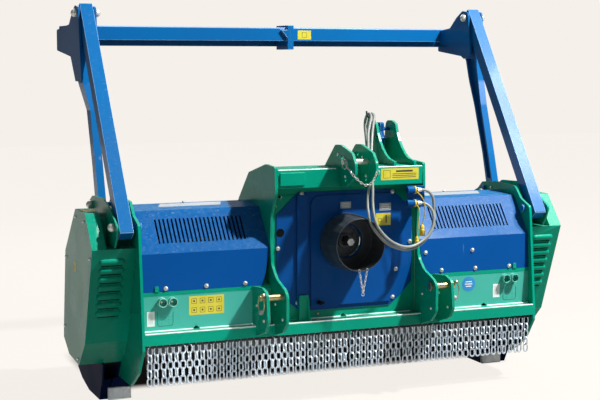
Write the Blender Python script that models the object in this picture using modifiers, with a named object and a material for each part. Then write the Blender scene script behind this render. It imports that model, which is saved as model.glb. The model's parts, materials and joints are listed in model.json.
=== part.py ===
"""Forestry mulcher for a tractor's three-point linkage, category 2.

Metres, +Z up. The tractor side faces -Y and the working width runs along X.
Sizes below are in the machine's own frame: y = 0 is the front face of the
front beam, z = 0 is the ground. The empty "machine" moves that frame so that
the finished part stands centred on the origin.
"""
import math

import bmesh
import bpy
from mathutils import Matrix, Vector

# Fit and sheet sizes
GAP = 0.0003            # what stays between two solids that touch
SHEET = 0.004           # covers and hoods
SIDES = 12              # of a small round piece
SHAFT_SIDES = 20        # of a shaft and the holes it turns in
SHELL_T = 0.008         # rotor housing and rear door

# Width
HALF_WORK = 0.960       # inner face of a side plate, from the middle
SIDE_T = 0.012
SIDE_OUT = HALF_WORK + SIDE_T
CENTRE_IN = 0.357       # inner face of a centre plate
CENTRE_T = 0.012
CENTRE_OUT = CENTRE_IN + CENTRE_T
BELT_ROOM = 0.191       # how far a belt cover stands out from its side plate
COVER_OUT = SIDE_OUT + BELT_ROOM
COVER_STEP = COVER_OUT - BELT_ROOM * 0.33       # where the cover's raised outer part ends

# Front beam and rotor housing
BEAM_DEPTH = 0.0744
BEAM_LOW = 0.3203
BEAM_TOP = 0.372
SHELL_Y = BEAM_DEPTH + GAP
SHELL_TOP = 0.612
SHELL_KNEE = 0.545
SHELL_REAR_Y = 0.775
SHELL_REAR_Z = 0.550

# Rotor
ROTOR_Y = 0.460
ROTOR_Z = 0.310
DRUM_R = 0.130
DRUM_END_ROOM = 0.030   # between drum and side plate
DRUM_HALF = HALF_WORK - DRUM_END_ROOM
TOOL_END = 0.045        # middle of the last tool, from the drum's end
ROTOR_SHAFT_R = 0.035
TOOL_TIP_R = 0.225
TOOL_WIDTH = 0.036
TOOL_COUNT = 40
TOOL_TURN = math.radians(99.0)
BLADE_TOP = 0.377
BLADE_LOW = 0.300

# Drive line
DRIVE_Y = 0.360
DRIVE_Z = 0.720
CROSS_SHAFT_R = 0.030
INPUT_SHAFT_R = 0.0175
INPUT_END_Y = 0.0
INPUT_REAR_Y = 0.205
UPPER_PULLEY_R = 0.115
LOWER_PULLEY_R = 0.100
GROOVE_DEPTH = 0.012
PULLEY_X = (SIDE_OUT + 0.043, COVER_OUT - 0.048)
BELT_T = 0.010
SHAFT_REACH = PULLEY_X[1] + 0.010
BEARING_T = 0.025

# Three-point hitch
LUG_OUT = 0.4554        # outer face of the outer lower lug
LUG_T = 0.012
LOWER_PIN_Y = -0.096
LOWER_PIN_Z = 0.511
LOWER_PIN_R = 0.014
TOP_PIN_Y = -0.075
TOP_PIN_Z = 1.088
TOP_PIN_R = 0.0125
TOP_PLATE_X = 0.050
TOP_PLATE_T = 0.012

# Top beam
TOP_BEAM_FRONT = -0.006
TOP_BEAM_REAR = 0.172
TOP_BEAM_LOW = 0.973
TOP_BEAM_TOP = 1.057

# Parking mast for the hoses
MAST_X = (0.220, 0.320)
MAST_T = 0.012
MAST_PIN_Y = 0.262
MAST_PIN_Z = 1.213
MAST_PIN_R = 0.009

# Hoods over the cross shaft
HOOD_FRONT = 0.047
HOOD_LOW = 0.5432
HOOD_FOLD = (0.057, 0.707)
HOOD_EDGE = (0.192, 0.880)
HOOD_TOP = (0.352, 0.893)
HOOD_REAR = 0.420
SLOT_COUNT = 22
SLOT_WIDTH = 0.008
SLOT_FIRST = HALF_WORK - 0.095      # middle of the outermost slot
SLOT_LAST = 0.4725      # middle of the innermost slot
SLOT_Z = (0.747, 0.844)

# Centre cover and shaft guard
COVER_FRAME_Y = (0.0655, 0.0735)
CENTRE_COVER_Y = (0.0600, 0.0652)
CENTRE_PANEL_Y = 0.052
CENTRE_HOLE_R = 0.075
GUARD_R = 0.130
GUARD_MOUTH_R = 0.119
GUARD_FRONT_Y = -0.107

# Chain curtain
CHAIN_BAR_Y = 0.020
CHAIN_BAR_Z = 0.309
CHAIN_BAR_R = 0.006
CHAIN_HALF_COUNT = 32
CHAIN_FIRST = 0.0165
CHAIN_PITCH = (HALF_WORK - 0.026 - CHAIN_FIRST) / (CHAIN_HALF_COUNT - 1)
LINK_PITCH = 0.0335
LINK_COUNT = 5
LINK_HALF_WIDTH = 0.012
LINK_WIRE = 0.007

# Rear door and its cylinders
DOOR_HINGE_Y = 0.800
DOOR_HINGE_Z = 0.550
DOOR_HINGE_R = 0.014
DOOR_REAR_Y = 0.905
DOOR_KNEE = 0.400
DOOR_LOW = 0.170
CYLINDER_X = 0.550
CYLINDER_BASE = (0.520, 0.705)
CYLINDER_TILT = math.radians(12.4)
CYLINDER_R = 0.024
CYLINDER_END = 0.222
PISTON_ROD_R = 0.012
DOOR_PIN = (0.860, 0.625)
CYLINDER_LENGTH = math.dist(CYLINDER_BASE, DOOR_PIN)
DOOR_PIN_R = 0.010
ROD_EYE_R = 0.026
ROD_EYE_HOLE_R = 0.0165

# Push frame
BRACE_X = (SIDE_OUT + 0.019, SIDE_OUT + 0.079)
BRACE_DEPTH = 0.065
BRACE_FOOT = (0.042, 0.806)
BRACE_HEAD = (0.723, 1.798)
BRACE_FOOT_PIN = 0.045  # along the brace, from its lower end
BRACE_HEAD_PIN = 0.035  # along the brace, from its upper end
FRAME_PIN_R = 0.010
FRAME_PIN_HEAD_R = 0.017
STRUT_X = (BRACE_X[0] + 0.012, BRACE_X[1] - 0.013)
STRUT_PIN_Y = 0.478
STRUT_PIN_Z = 0.886
STRUT_CRANK = (1.305, 1.430)  # heights between which a strut steps outward
HEAD_OUTER_X = (BRACE_X[1] + 0.003, BRACE_X[1] + 0.013)
HEAD_INNER_X = (BRACE_X[0] - 0.013, BRACE_X[0] - 0.003)
BRACKET_X = (BRACE_X[1] + 0.007, BRACE_X[1] + 0.015)
BRACKET_BASE_Z = (0.851, 0.861)
PUSH_BAR_Y = (1.000, 1.155)
PUSH_BAR_TOP = 1.700
PUSH_BAR_FRONT_LIP = 1.632
PUSH_BAR_REAR_LIP = 1.605
PUSH_BAR_T = 0.008
FLANGE_X = 0.105
FLANGE_T = 0.016

# Skids
SKID_X = (HALF_WORK - 0.045, SIDE_OUT + 0.088)
SKID_T = 0.008
SKID_FRONT = 0.420
SKID_TOP = 0.178

# Hoses
HOSE_R = 0.0065
HOOK_Y = 0.190
COUPLER_X = (0.262, 0.3105)
COUPLER_Y = -0.036
COUPLER_Z = (0.948, 0.888)
COUPLER_R = 0.016

# Reach of the whole part along Y, in the machine's own frame
FRONT_REACH = -0.165
REAR_REACH = 1.164
CENTRE_Y = (FRONT_REACH + REAR_REACH) / 2

for old in list(bpy.data.objects):
    bpy.data.objects.remove(old, do_unlink=True)

mulcher = bpy.data.collections.new("forestry_mulcher")
bpy.context.scene.collection.children.link(mulcher)

machine = bpy.data.objects.new("machine", None)
machine.location = (0.0, -CENTRE_Y, 0.0)
mulcher.objects.link(machine)


def material(name, colour, roughness, metallic=0.0):
    mat = bpy.data.materials.new(name)
    mat.use_nodes = True
    shader = mat.node_tree.nodes["Principled BSDF"]
    shader.inputs["Base Color"].default_value = (*colour, 1.0)
    shader.inputs["Roughness"].default_value = roughness
    shader.inputs["Metallic"].default_value = metallic
    mat.diffuse_color = (*colour, 1.0)
    return mat


GREEN = material("green_enamel", (0.002, 0.37, 0.22), 0.35)
BLUE = material("blue_enamel", (0.02, 0.18, 0.58), 0.35)
NAVY = material("dark_blue_enamel", (0.01, 0.05, 0.25), 0.4)
BLACK = material("black_plastic", (0.012, 0.012, 0.014), 0.45)
STEEL = material("machined_steel", (0.55, 0.56, 0.57), 0.3, 1.0)
ZINC = material("zinc_plate", (0.62, 0.62, 0.60), 0.35, 1.0)
GALVANISED = material("galvanised_chain", (0.52, 0.54, 0.56), 0.45, 1.0)
CAST = material("cast_iron", (0.09, 0.10, 0.11), 0.6, 0.6)
RUBBER = material("belt_rubber", (0.02, 0.02, 0.02), 0.8)
HOSE = material("grey_hose_cover", (0.62, 0.63, 0.62), 0.5)
WEAR = material("bare_wear_steel", (0.42, 0.44, 0.46), 0.5, 0.8)


def new_object(name, data):
    obj = bpy.data.objects.new(name, data)
    mulcher.objects.link(obj)
    return obj


def from_bmesh(bm):
    mesh = bpy.data.meshes.new("shape")
    bm.to_mesh(mesh)
    bm.free()
    return new_object("shape", mesh)


def solid(bm):
    """An object from one closed body, with its faces turned outwards."""
    bmesh.ops.recalc_face_normals(bm, faces=bm.faces)
    if bm.calc_volume(signed=True) < 0:
        bmesh.ops.reverse_faces(bm, faces=bm.faces)
    return from_bmesh(bm)


def bake(obj):
    """Replace an object's curve or modifiers by the welded mesh they give."""
    bpy.context.view_layer.update()
    graph = bpy.context.evaluated_depsgraph_get()
    mesh = bpy.data.meshes.new_from_object(obj.evaluated_get(graph))
    bm = bmesh.new()
    bm.from_mesh(mesh)
    bmesh.ops.remove_doubles(bm, verts=bm.verts, dist=1e-6)
    bm.transform(obj.matrix_world)
    bpy.data.meshes.remove(mesh)
    bpy.data.objects.remove(obj)
    return solid(bm)


def block(x, y, z):
    bm = bmesh.new()
    bmesh.ops.create_cube(bm, size=1.0)
    size = Vector((x[1] - x[0], y[1] - y[0], z[1] - z[0]))
    middle = Vector((x[0] + x[1], y[0] + y[1], z[0] + z[1])) / 2
    bmesh.ops.scale(bm, vec=size, verts=bm.verts)
    bmesh.ops.translate(bm, vec=middle, verts=bm.verts)
    return solid(bm)


def rod(start, end, radius, sides=SIDES):
    start = Vector(start)
    along = Vector(end) - start
    bm = bmesh.new()
    bmesh.ops.create_cone(bm, cap_ends=True, segments=sides, radius1=radius,
                          radius2=radius, depth=along.length)
    turn = Vector((0, 0, 1)).rotation_difference(along).to_matrix().to_4x4()
    bm.transform(Matrix.Translation(start + along / 2) @ turn)
    return solid(bm)


def rod_x(x, y, z, radius, sides=SIDES):
    return rod((x[0], y, z), (x[1], y, z), radius, sides)


def rounded(corners, steps=3):
    """Points of a closed outline; a third number at a corner is its radius."""
    points = []
    count = len(corners)
    for i, corner in enumerate(corners):
        here = Vector(corner[:2])
        if len(corner) == 2:
            points.append(here)
            continue
        before = (Vector(corners[i - 1][:2]) - here).normalized()
        after = (Vector(corners[(i + 1) % count][:2]) - here).normalized()
        half = before.angle(after) / 2
        reach = corner[2] / math.tan(half)
        centre = here + (before + after).normalized() * corner[2] / math.sin(half)
        first = here + before * reach - centre
        last = here + after * reach - centre
        sweep = first.angle_signed(last)
        for k in range(steps + 1):
            turn = Matrix.Rotation(-sweep * k / steps, 2)
            points.append(centre + turn @ first)
    return points


def ring(u, v, radius, sides=SIDES):
    step = math.tau / sides
    return [Vector((u + radius * math.cos(step * k), v + radius * math.sin(step * k)))
            for k in range(sides)]


def clear(radius, sides=SIDES):
    """Corner radius of a many-sided hole that a round of that radius turns in."""
    return (radius + GAP) / math.cos(math.pi / sides)


def hole(u, v, pin_radius, sides=SIDES):
    return ring(u, v, clear(pin_radius, sides), sides)


def flat_solid(outline, holes, thickness):
    curve = bpy.data.curves.new("outline", "CURVE")
    curve.dimensions = "2D"
    curve.fill_mode = "BOTH"
    curve.extrude = thickness / 2
    for loop in [outline, *holes]:
        spline = curve.splines.new("POLY")
        spline.points.add(len(loop) - 1)
        for point, place in zip(spline.points, loop):
            point.co = (place[0], place[1], 0.0, 1.0)
        spline.use_cyclic_u = True
    return new_object("outline", curve)


def plate_x(outline, x, holes=(), steps=3):
    """A flat plate across X, from its (y, z) outline."""
    obj = flat_solid(rounded(outline, steps), holes, x[1] - x[0])
    obj.rotation_euler = (math.pi / 2, 0.0, math.pi / 2)
    obj.location = ((x[0] + x[1]) / 2, 0.0, 0.0)
    return bake(obj)


def plate_y(outline, y, holes=(), steps=3):
    """A flat plate across Y, from its (x, z) outline."""
    obj = flat_solid(rounded(outline, steps), holes, y[1] - y[0])
    obj.rotation_euler = (math.pi / 2, 0.0, 0.0)
    obj.location = (0.0, (y[0] + y[1]) / 2, 0.0)
    return bake(obj)


def folded(line, thickness):
    """Close a bent sheet's outer line by its inner line, to the line's right."""
    points = [Vector(p) for p in line]
    inner = []
    for i, here in enumerate(points):
        sides = []
        if i > 0:
            sides.append((here - points[i - 1]).normalized())
        if i + 1 < len(points):
            sides.append((points[i + 1] - here).normalized())
        normals = [Vector((s.y, -s.x)) for s in sides]
        mitre = sum(normals, Vector((0, 0))).normalized()
        inner.append(here + mitre * thickness / mitre.dot(normals[0]))
    return [tuple(p) for p in points + inner[::-1]]


def inset(outline, distance):
    """A convex outline, listed clockwise, moved in on every side."""
    points = [Vector(p[:2]) for p in outline]
    moved = []
    for i, here in enumerate(points):
        into = (here - points[i - 1]).normalized()
        out = (points[(i + 1) % len(points)] - here).normalized()
        normals = [Vector((s.y, -s.x)) for s in (into, out)]
        mitre = (normals[0] + normals[1]).normalized()
        moved.append(tuple(here + mitre * distance / mitre.dot(normals[0])))
    return moved


def merge(*shapes):
    """One object from shapes that don't touch each other."""
    bm = bmesh.new()
    for shape in shapes:
        bm.from_mesh(shape.data)
        bpy.data.objects.remove(shape)
    return from_bmesh(bm)


def combine(target, tool, operation):
    modifier = target.modifiers.new(operation.lower(), "BOOLEAN")
    modifier.operation = operation
    modifier.solver = "EXACT"
    modifier.object = tool
    result = bake(target)
    bpy.data.objects.remove(tool)
    return result


def unite(target, *tools):
    for tool in tools:
        target = combine(target, tool, "UNION")
    return target


def cut(target, *tools):
    for tool in tools:
        target = combine(target, tool, "DIFFERENCE")
    return target


def turned_x(profile, y, z, steps):
    """A closed (radius, x) profile turned about the X axis through (y, z)."""
    bm = bmesh.new()
    verts = [bm.verts.new((radius, 0.0, x)) for radius, x in profile]
    for i, vert in enumerate(verts):
        bm.edges.new((vert, verts[(i + 1) % len(verts)]))
    mesh = bpy.data.meshes.new("profile")
    bm.to_mesh(mesh)
    bm.free()
    obj = new_object("profile", mesh)
    screw = obj.modifiers.new("turn", "SCREW")
    screw.axis = "Z"
    screw.steps = steps
    screw.render_steps = steps
    screw.use_merge_vertices = True
    screw.merge_threshold = 1e-5
    obj.rotation_euler = (0.0, math.pi / 2, 0.0)
    obj.location = (0.0, y, z)
    return bake(obj)


def turned_y(profile, x, z, steps):
    """A closed (radius, y) profile turned about the Y axis through (x, z)."""
    shape = turned_x(profile, 0.0, 0.0, steps)
    turn = Matrix.Rotation(math.pi / 2, 4, "Z")
    shape.data.transform(Matrix.Translation((x, 0.0, z)) @ turn)
    return shape


def mirrored(shape):
    """A copy on the other side of the machine."""
    bm = bmesh.new()
    bm.from_mesh(shape.data)
    bmesh.ops.scale(bm, vec=(-1.0, 1.0, 1.0), verts=bm.verts)
    bmesh.ops.reverse_faces(bm, faces=bm.faces)
    return from_bmesh(bm)


def node(name, shape, mat, origin=(0.0, 0.0, 0.0)):
    """Name a finished piece, put its origin on its own place or axis."""
    shape.name = name
    shape.data.name = name
    shape.data.transform(Matrix.Translation(-Vector(origin)))
    shape.location = origin
    shape.parent = machine
    shape.data.materials.clear()
    shape.data.materials.append(mat)
    shape.data.shade_smooth()
    shape.data.set_sharp_from_angle(angle=math.radians(32))
    return shape


def both_sides(name, left, mat, origin=(0.0, 0.0, 0.0)):
    """Name a left piece and its right-hand twin."""
    right = mirrored(left)
    node(name + "_left", left, mat, origin)
    node(name + "_right", right, mat, (-origin[0], origin[1], origin[2]))


def left(x):
    """The left-hand place of a pair of distances from the middle."""
    return (-x[1], -x[0])


def brace_point(along, across):
    """A (y, z) place in a brace, from its front lower corner."""
    start = Vector(BRACE_FOOT)
    axis = (Vector(BRACE_HEAD) - start).normalized()
    rearward = Vector((axis.y, -axis.x))
    return start + axis * along + rearward * across


BRACE_LENGTH = (Vector(BRACE_HEAD) - Vector(BRACE_FOOT)).length
BRACE_LOW_PIN = brace_point(BRACE_FOOT_PIN, BRACE_DEPTH / 2)
BRACE_TOP_PIN = brace_point(BRACE_LENGTH - BRACE_HEAD_PIN, BRACE_DEPTH / 2)


def side_plates():
    """Thick end plates of the rotor housing, which also carry the push frame."""
    outline = [(0.000, 0.296, 0.010), (0.000, 0.355), (0.045, 0.800, 0.05),
               (0.052, 0.838, 0.02), (0.130, 0.868, 0.03), (0.185, 0.925, 0.02),
               (0.375, 0.932, 0.02), (0.500, 0.920, 0.02), (0.540, 0.886, 0.02), (0.600, 0.860, 0.03),
               (0.840, 0.640, 0.06), (0.915, 0.450, 0.06), (0.895, 0.200, 0.05),
               (0.800, 0.105, 0.03), (0.200, 0.105, 0.03), (0.070, 0.190, 0.02)]
    holes = [hole(ROTOR_Y, ROTOR_Z, ROTOR_SHAFT_R, SHAFT_SIDES),
             hole(DRIVE_Y, DRIVE_Z, CROSS_SHAFT_R, SHAFT_SIDES),
             hole(*BRACE_LOW_PIN, FRAME_PIN_R), hole(STRUT_PIN_Y, STRUT_PIN_Z, FRAME_PIN_R),
             hole(DOOR_HINGE_Y, DOOR_HINGE_Z, DOOR_HINGE_R),
             hole(CHAIN_BAR_Y, CHAIN_BAR_Z, CHAIN_BAR_R, 8)]
    plate = plate_x(outline, (-SIDE_OUT, -HALF_WORK), holes)
    both_sides("side_plate", plate, GREEN, (-HALF_WORK, ROTOR_Y, ROTOR_Z))


def front_beam():
    """Beam that closes the housing in front and carries the chain bars."""
    reach = HALF_WORK - GAP
    chamfer = 0.006
    outline = [(0.0, BEAM_LOW), (0.0, BEAM_TOP - chamfer), (chamfer, BEAM_TOP),
               (BEAM_DEPTH, BEAM_TOP), (BEAM_DEPTH, BEAM_LOW)]
    beam = plate_x(outline, (-reach, reach))
    lug_half = 0.004
    lug = plate_x([(0.006, BEAM_LOW + 0.004), (0.034, BEAM_LOW + 0.004), (0.034, 0.296, 0.006),
                   (0.006, 0.296, 0.006)], (-lug_half, lug_half),
                  [hole(CHAIN_BAR_Y, CHAIN_BAR_Z, CHAIN_BAR_R, 8)])
    tab = plate_y([(-0.235, BEAM_TOP - 0.003), (-0.235, 0.486, 0.008), (-0.190, 0.486, 0.008),
                   (-0.190, BEAM_TOP - 0.003)], (0.036, 0.046))
    fin = plate_x([(0.008, BEAM_TOP - 0.003), (0.012, 0.396, 0.010), (0.026, 0.420, 0.020),
                   (0.034, 0.470), (0.040, 0.470), (0.040, BEAM_TOP - 0.003)], (-0.198, -0.189))
    node("front_beam", unite(beam, lug, tab, fin), GREEN)


def housing_shell():
    """Folded rotor housing with the ears of the door cylinders."""
    reach = HALF_WORK - GAP
    line = [(SHELL_Y, BEAM_LOW), (SHELL_Y, SHELL_KNEE), (0.190, SHELL_TOP),
            (0.620, SHELL_TOP), (SHELL_REAR_Y, SHELL_REAR_Z)]
    shell = plate_x(folded(line, SHELL_T), (-reach, reach))
    base_y, base_z = CYLINDER_BASE
    ear = [(base_y - 0.032, SHELL_TOP - 0.003), (base_y - 0.022, base_z + 0.022, 0.020),
           (base_y + 0.022, base_z + 0.022, 0.020), (base_y + 0.032, SHELL_TOP - 0.003)]
    ears = []
    for middle in (-CYLINDER_X, CYLINDER_X):
        for side in (-0.0310, 0.0310):
            x = middle + side
            ears.append(plate_x(ear, (x - 0.005, x + 0.005), [hole(base_y, base_z, DOOR_PIN_R)]))
    node("housing_shell", unite(shell, merge(*ears)), GREEN)


def drain_notch(x, low, radius=0.013):
    """Half-round notch in the lower edge of a sheet, from left to right."""
    return [(x - radius * math.cos(math.radians(30 * k)), low + radius * math.sin(math.radians(30 * k)))
            for k in range(7)]


def front_panels():
    """Sheets between the front beam and the hoods, with two short ports each."""
    x = (-HALF_WORK + GAP, -CENTRE_OUT - GAP)
    y = (0.048, 0.053)
    port_r = 0.020
    port_z = 0.499
    ports = (-HALF_WORK + 0.088, -HALF_WORK + 0.134)
    top = HOOD_LOW - GAP
    low = BEAM_TOP + GAP
    sheet = plate_y([(x[0], low), *drain_notch(-0.716, low), (x[1], low), (x[1], top),
                     (x[0], top)], y)
    root = y[0] + 0.0005
    wall = 0.003
    profile = [(port_r, 0.020), (port_r, root), (port_r - wall, root), (port_r - wall, 0.020)]
    tubes = [turned_y(profile, p, port_z, 16) for p in ports]
    both_sides("front_panel", unite(sheet, merge(*tubes)), GREEN)


def centre_plates():
    """Tall plates of the headstock; their lower noses are the inner hitch lugs."""
    back = SHELL_Y - GAP
    outline = [(-0.005, 1.069, 0.010), (0.108, 1.075, 0.03), (0.326, 1.023, 0.02),
               (0.467, 0.886, 0.02), (0.500, 0.800), (0.500, SHELL_TOP + GAP),
               (0.190, SHELL_TOP + GAP), (back, SHELL_KNEE + GAP), (back, BEAM_TOP + GAP),
               (-GAP, BEAM_TOP + GAP), (-GAP, 0.324), (-0.095, 0.352, 0.03),
               (-0.143, 0.400, 0.03), (-0.145, 0.525, 0.03), (-0.110, 0.548, 0.04),
               (-0.020, 0.578, 0.05), (0.036, 0.630, 0.05), (0.052, 0.740, 0.08),
               (0.045, 0.850, 0.08), (-0.010, 0.955, 0.06)]
    holes = [hole(DRIVE_Y, DRIVE_Z, CROSS_SHAFT_R, SHAFT_SIDES),
             hole(LOWER_PIN_Y, LOWER_PIN_Z, LOWER_PIN_R), ring(-0.013, 0.4645, 0.006, 8),
             ring(-0.098, 0.411, 0.006, 8)]
    plate = plate_x(outline, (-CENTRE_OUT, -CENTRE_IN), holes)
    both_sides("centre_plate", plate, GREEN, (-CENTRE_IN, 0.0, LOWER_PIN_Z))


def hitch_lugs():
    """Outer lugs of the lower hitch points."""
    back = 0.048 - GAP
    outline = [(back, HOOD_LOW - 0.001), (-0.070, 0.553, 0.04), (-0.128, 0.535, 0.03),
               (-0.144, 0.412, 0.03), (-0.110, 0.362, 0.03), (-GAP, 0.327),
               (-GAP, BEAM_TOP + GAP), (back, BEAM_TOP + GAP)]
    holes = [hole(LOWER_PIN_Y, LOWER_PIN_Z, LOWER_PIN_R), ring(-0.013, 0.4645, 0.006, 8),
             ring(-0.098, 0.411, 0.006, 8)]
    lug = plate_x(outline, (-LUG_OUT, -LUG_OUT + LUG_T), holes)
    both_sides("hitch_lug", lug, GREEN, (-LUG_OUT, LOWER_PIN_Y, LOWER_PIN_Z))


def hitch_pins():
    """Lower pins with a collar inside, and the top-link pin with a head."""
    collar_x = (-CENTRE_IN + GAP, -CENTRE_IN + 0.010)
    pin = rod_x((-LUG_OUT - 0.022, collar_x[1]), LOWER_PIN_Y, LOWER_PIN_Z, LOWER_PIN_R)
    collar = rod_x(collar_x, LOWER_PIN_Y, LOWER_PIN_Z, 0.021)
    pin = unite(pin, collar)
    both_sides("lower_hitch_pin", pin, ZINC, (-CENTRE_IN, LOWER_PIN_Y, LOWER_PIN_Z))
    outer = TOP_PLATE_X + TOP_PLATE_T / 2
    pin = rod_x((-outer - 0.022, outer + 0.012), TOP_PIN_Y, TOP_PIN_Z, TOP_PIN_R)
    head = rod_x((outer + GAP, outer + 0.012), TOP_PIN_Y, TOP_PIN_Z, 0.019)
    node("top_link_pin", unite(pin, head), ZINC, (0.0, TOP_PIN_Y, TOP_PIN_Z))


def top_beam():
    """Beam across the headstock, with its name-plate pad and the hose block."""
    reach = CENTRE_IN - GAP
    chamfer = 0.004
    outline = [(TOP_BEAM_FRONT, TOP_BEAM_LOW), (TOP_BEAM_FRONT, TOP_BEAM_TOP - chamfer),
               (TOP_BEAM_FRONT + chamfer, TOP_BEAM_TOP), (TOP_BEAM_REAR, TOP_BEAM_TOP),
               (TOP_BEAM_REAR, TOP_BEAM_LOW)]
    beam = plate_x(outline, (-reach, reach))
    pad = block((-0.345, -0.228), (TOP_BEAM_FRONT - 0.006, TOP_BEAM_FRONT + 0.002),
                (0.986, 1.042))
    hose_block = block((0.155, 0.212), (TOP_BEAM_REAR - 0.002, 0.218), (0.985, 1.030))
    node("top_beam", unite(beam, pad, hose_block), GREEN)


def top_link_bracket():
    """Two plates that stand on the top beam and reach down its front."""
    front = TOP_BEAM_FRONT - GAP
    seat = TOP_BEAM_TOP + GAP
    outline = [(0.168, seat), (0.052, 1.158, 0.03), (-0.010, 1.160, 0.03),
               (-0.128, 1.130, 0.03), (-0.165, 1.085, 0.03), (-0.165, 1.030, 0.03),
               (-0.060, 0.976, 0.02), (front, 0.974), (front, seat)]
    holes = [hole(TOP_PIN_Y, TOP_PIN_Z, TOP_PIN_R), ring(0.030, 1.117, 0.010, 10),
             ring(-0.020, 1.106, 0.010, 10), ring(-0.060, 1.010, 0.010, 10)]
    half = TOP_PLATE_T / 2
    plates = [plate_x(outline, (x - half, x + half), holes) for x in (-TOP_PLATE_X, TOP_PLATE_X)]
    web = block((-TOP_PLATE_X, TOP_PLATE_X), (0.060, 0.070), (seat, 1.120))
    node("top_link_bracket", unite(merge(*plates), web), GREEN)


def parking_mast():
    """Two curved gusset plates on the top beam, with a web behind."""
    seat = TOP_BEAM_TOP + GAP
    rear = TOP_BEAM_REAR + GAP
    outline = [(0.000, seat), (0.000, 1.076)]
    centre = Vector((0.000, 1.330))
    for k in range(1, 7):
        angle = math.radians(6 + 10.5 * k)
        outline.append((centre.x + 0.210 * math.sin(angle), centre.y - 0.254 * math.cos(angle)))
    outline += [(0.232, 1.252, 0.02), (0.296, 1.252, 0.03), (0.306, 1.190), (0.306, 1.050),
                (0.240, 0.990), (rear, 0.990), (rear, seat)]
    half = MAST_T / 2
    holes = [hole(MAST_PIN_Y, MAST_PIN_Z, MAST_PIN_R)]
    plates = [plate_x(outline, (x - half, x + half), holes) for x in MAST_X]
    web = block(MAST_X, (0.292, 0.300), (1.060, 1.165))
    node("parking_mast", unite(merge(*plates), web), GREEN)


def hitch_latch():
    """Blue link that swings between the mast's plates on its own pin."""
    outline = [(MAST_PIN_Y - 0.022, MAST_PIN_Z + 0.030, 0.012),
               (MAST_PIN_Y + 0.026, MAST_PIN_Z + 0.030, 0.012),
               (MAST_PIN_Y + 0.020, MAST_PIN_Z - 0.070, 0.010),
               (MAST_PIN_Y - 0.018, MAST_PIN_Z - 0.085, 0.010),
               (MAST_PIN_Y - 0.030, MAST_PIN_Z - 0.040),
               (MAST_PIN_Y - 0.016, MAST_PIN_Z - 0.012)]
    middle = sum(MAST_X) / 2
    link = plate_x(outline, (middle - 0.010, middle + 0.010))
    half = MAST_T / 2
    pin = rod_x((MAST_X[0] - half - 0.010, MAST_X[1] + half + 0.010), MAST_PIN_Y, MAST_PIN_Z,
                MAST_PIN_R)
    node("hitch_latch", unite(link, pin), BLUE, (middle, MAST_PIN_Y, MAST_PIN_Z))


def tube(name, route, radius, mat, resolution=2):
    curve = bpy.data.curves.new(name, "CURVE")
    curve.dimensions = "3D"
    curve.bevel_depth = radius
    curve.bevel_resolution = resolution
    curve.use_fill_caps = True
    spline = curve.splines.new("POLY")
    spline.points.add(len(route) - 1)
    for point, place in zip(spline.points, route):
        point.co = (*place, 1.0)
    obj = new_object(name, curve)
    curve.materials.append(mat)
    obj.parent = machine
    return obj


def smooth_route(points, spacing):
    """Places at an even spacing on one smooth curve through the points."""
    places = [Vector(p) for p in points]
    ends = [places[0] * 2 - places[1], *places, places[-1] * 2 - places[-2]]
    dense = []
    for a, b, c, d in zip(ends, ends[1:], ends[2:], ends[3:]):
        for k in range(24):
            t = k / 24
            dense.append(0.5 * (b * 2 + (c - a) * t + (a * 2 - b * 5 + c * 4 - d) * t * t
                                + (b * 3 - a - c * 3 + d) * t * t * t))
    dense.append(places[-1])
    lengths = [0.0]
    for start, end in zip(dense, dense[1:]):
        lengths.append(lengths[-1] + (end - start).length)
    count = max(2, round(lengths[-1] / spacing))
    route = []
    at = 0
    for k in range(count + 1):
        wanted = lengths[-1] * k / count
        while at + 2 < len(lengths) and lengths[at + 1] < wanted:
            at += 1
        share = (wanted - lengths[at]) / (lengths[at + 1] - lengths[at])
        route.append(dense[at].lerp(dense[at + 1], min(share, 1.0)))
    return route


def hose_hook():
    """Bent rod on the mast that the hoses hang over."""
    face = MAST_X[0] - MAST_T / 2 - GAP
    route = [(face, HOOK_Y, 1.180), (0.204, HOOK_Y, 1.180), (0.200, HOOK_Y, 1.200),
             (0.205, HOOK_Y, 1.255), (0.201, HOOK_Y, 1.270), (0.174, HOOK_Y, 1.270),
             (0.165, HOOK_Y, 1.277), (0.163, HOOK_Y, 1.300)]
    tube("hose_hook", route, 0.0045, BLACK)


def hoods():
    """Blue hoods over the cross shaft, each with a row of slots."""
    x = (-HALF_WORK + GAP, -CENTRE_OUT - GAP)
    line = [(HOOD_FRONT, HOOD_LOW), HOOD_FOLD, HOOD_EDGE, HOOD_TOP, (HOOD_REAR, 0.800),
            (HOOD_REAR, SHELL_TOP + GAP)]
    hood = plate_x(folded(line, SHEET), x)
    fold = Vector(HOOD_FOLD)
    slope = Vector(HOOD_EDGE) - fold
    middle_z = sum(SLOT_Z) / 2
    middle = fold + slope * ((middle_z - fold.y) / slope.y)
    length = (SLOT_Z[1] - SLOT_Z[0]) / slope.normalized().y
    pitch = (SLOT_FIRST - SLOT_LAST) / (SLOT_COUNT - 1)
    slots = []
    for k in range(SLOT_COUNT):
        half = SLOT_WIDTH / 2
        slot = block((-half, half), (-0.02, 0.02), (-length / 2, length / 2))
        lean = math.atan2(slope.x, slope.y)
        slot.data.transform(Matrix.Translation((-SLOT_FIRST + k * pitch, middle.x, middle.y))
                            @ Matrix.Rotation(-lean, 4, "X"))
        slots.append(slot)
    corner = plate_y([(-CENTRE_OUT, HOOD_FOLD[1]), (-0.300, 0.500), (-0.412, 0.500)],
                     (-0.02, HOOD_FOLD[0] + SHEET + 0.001))
    both_sides("hood", cut(hood, merge(*slots), corner), BLUE)


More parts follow.
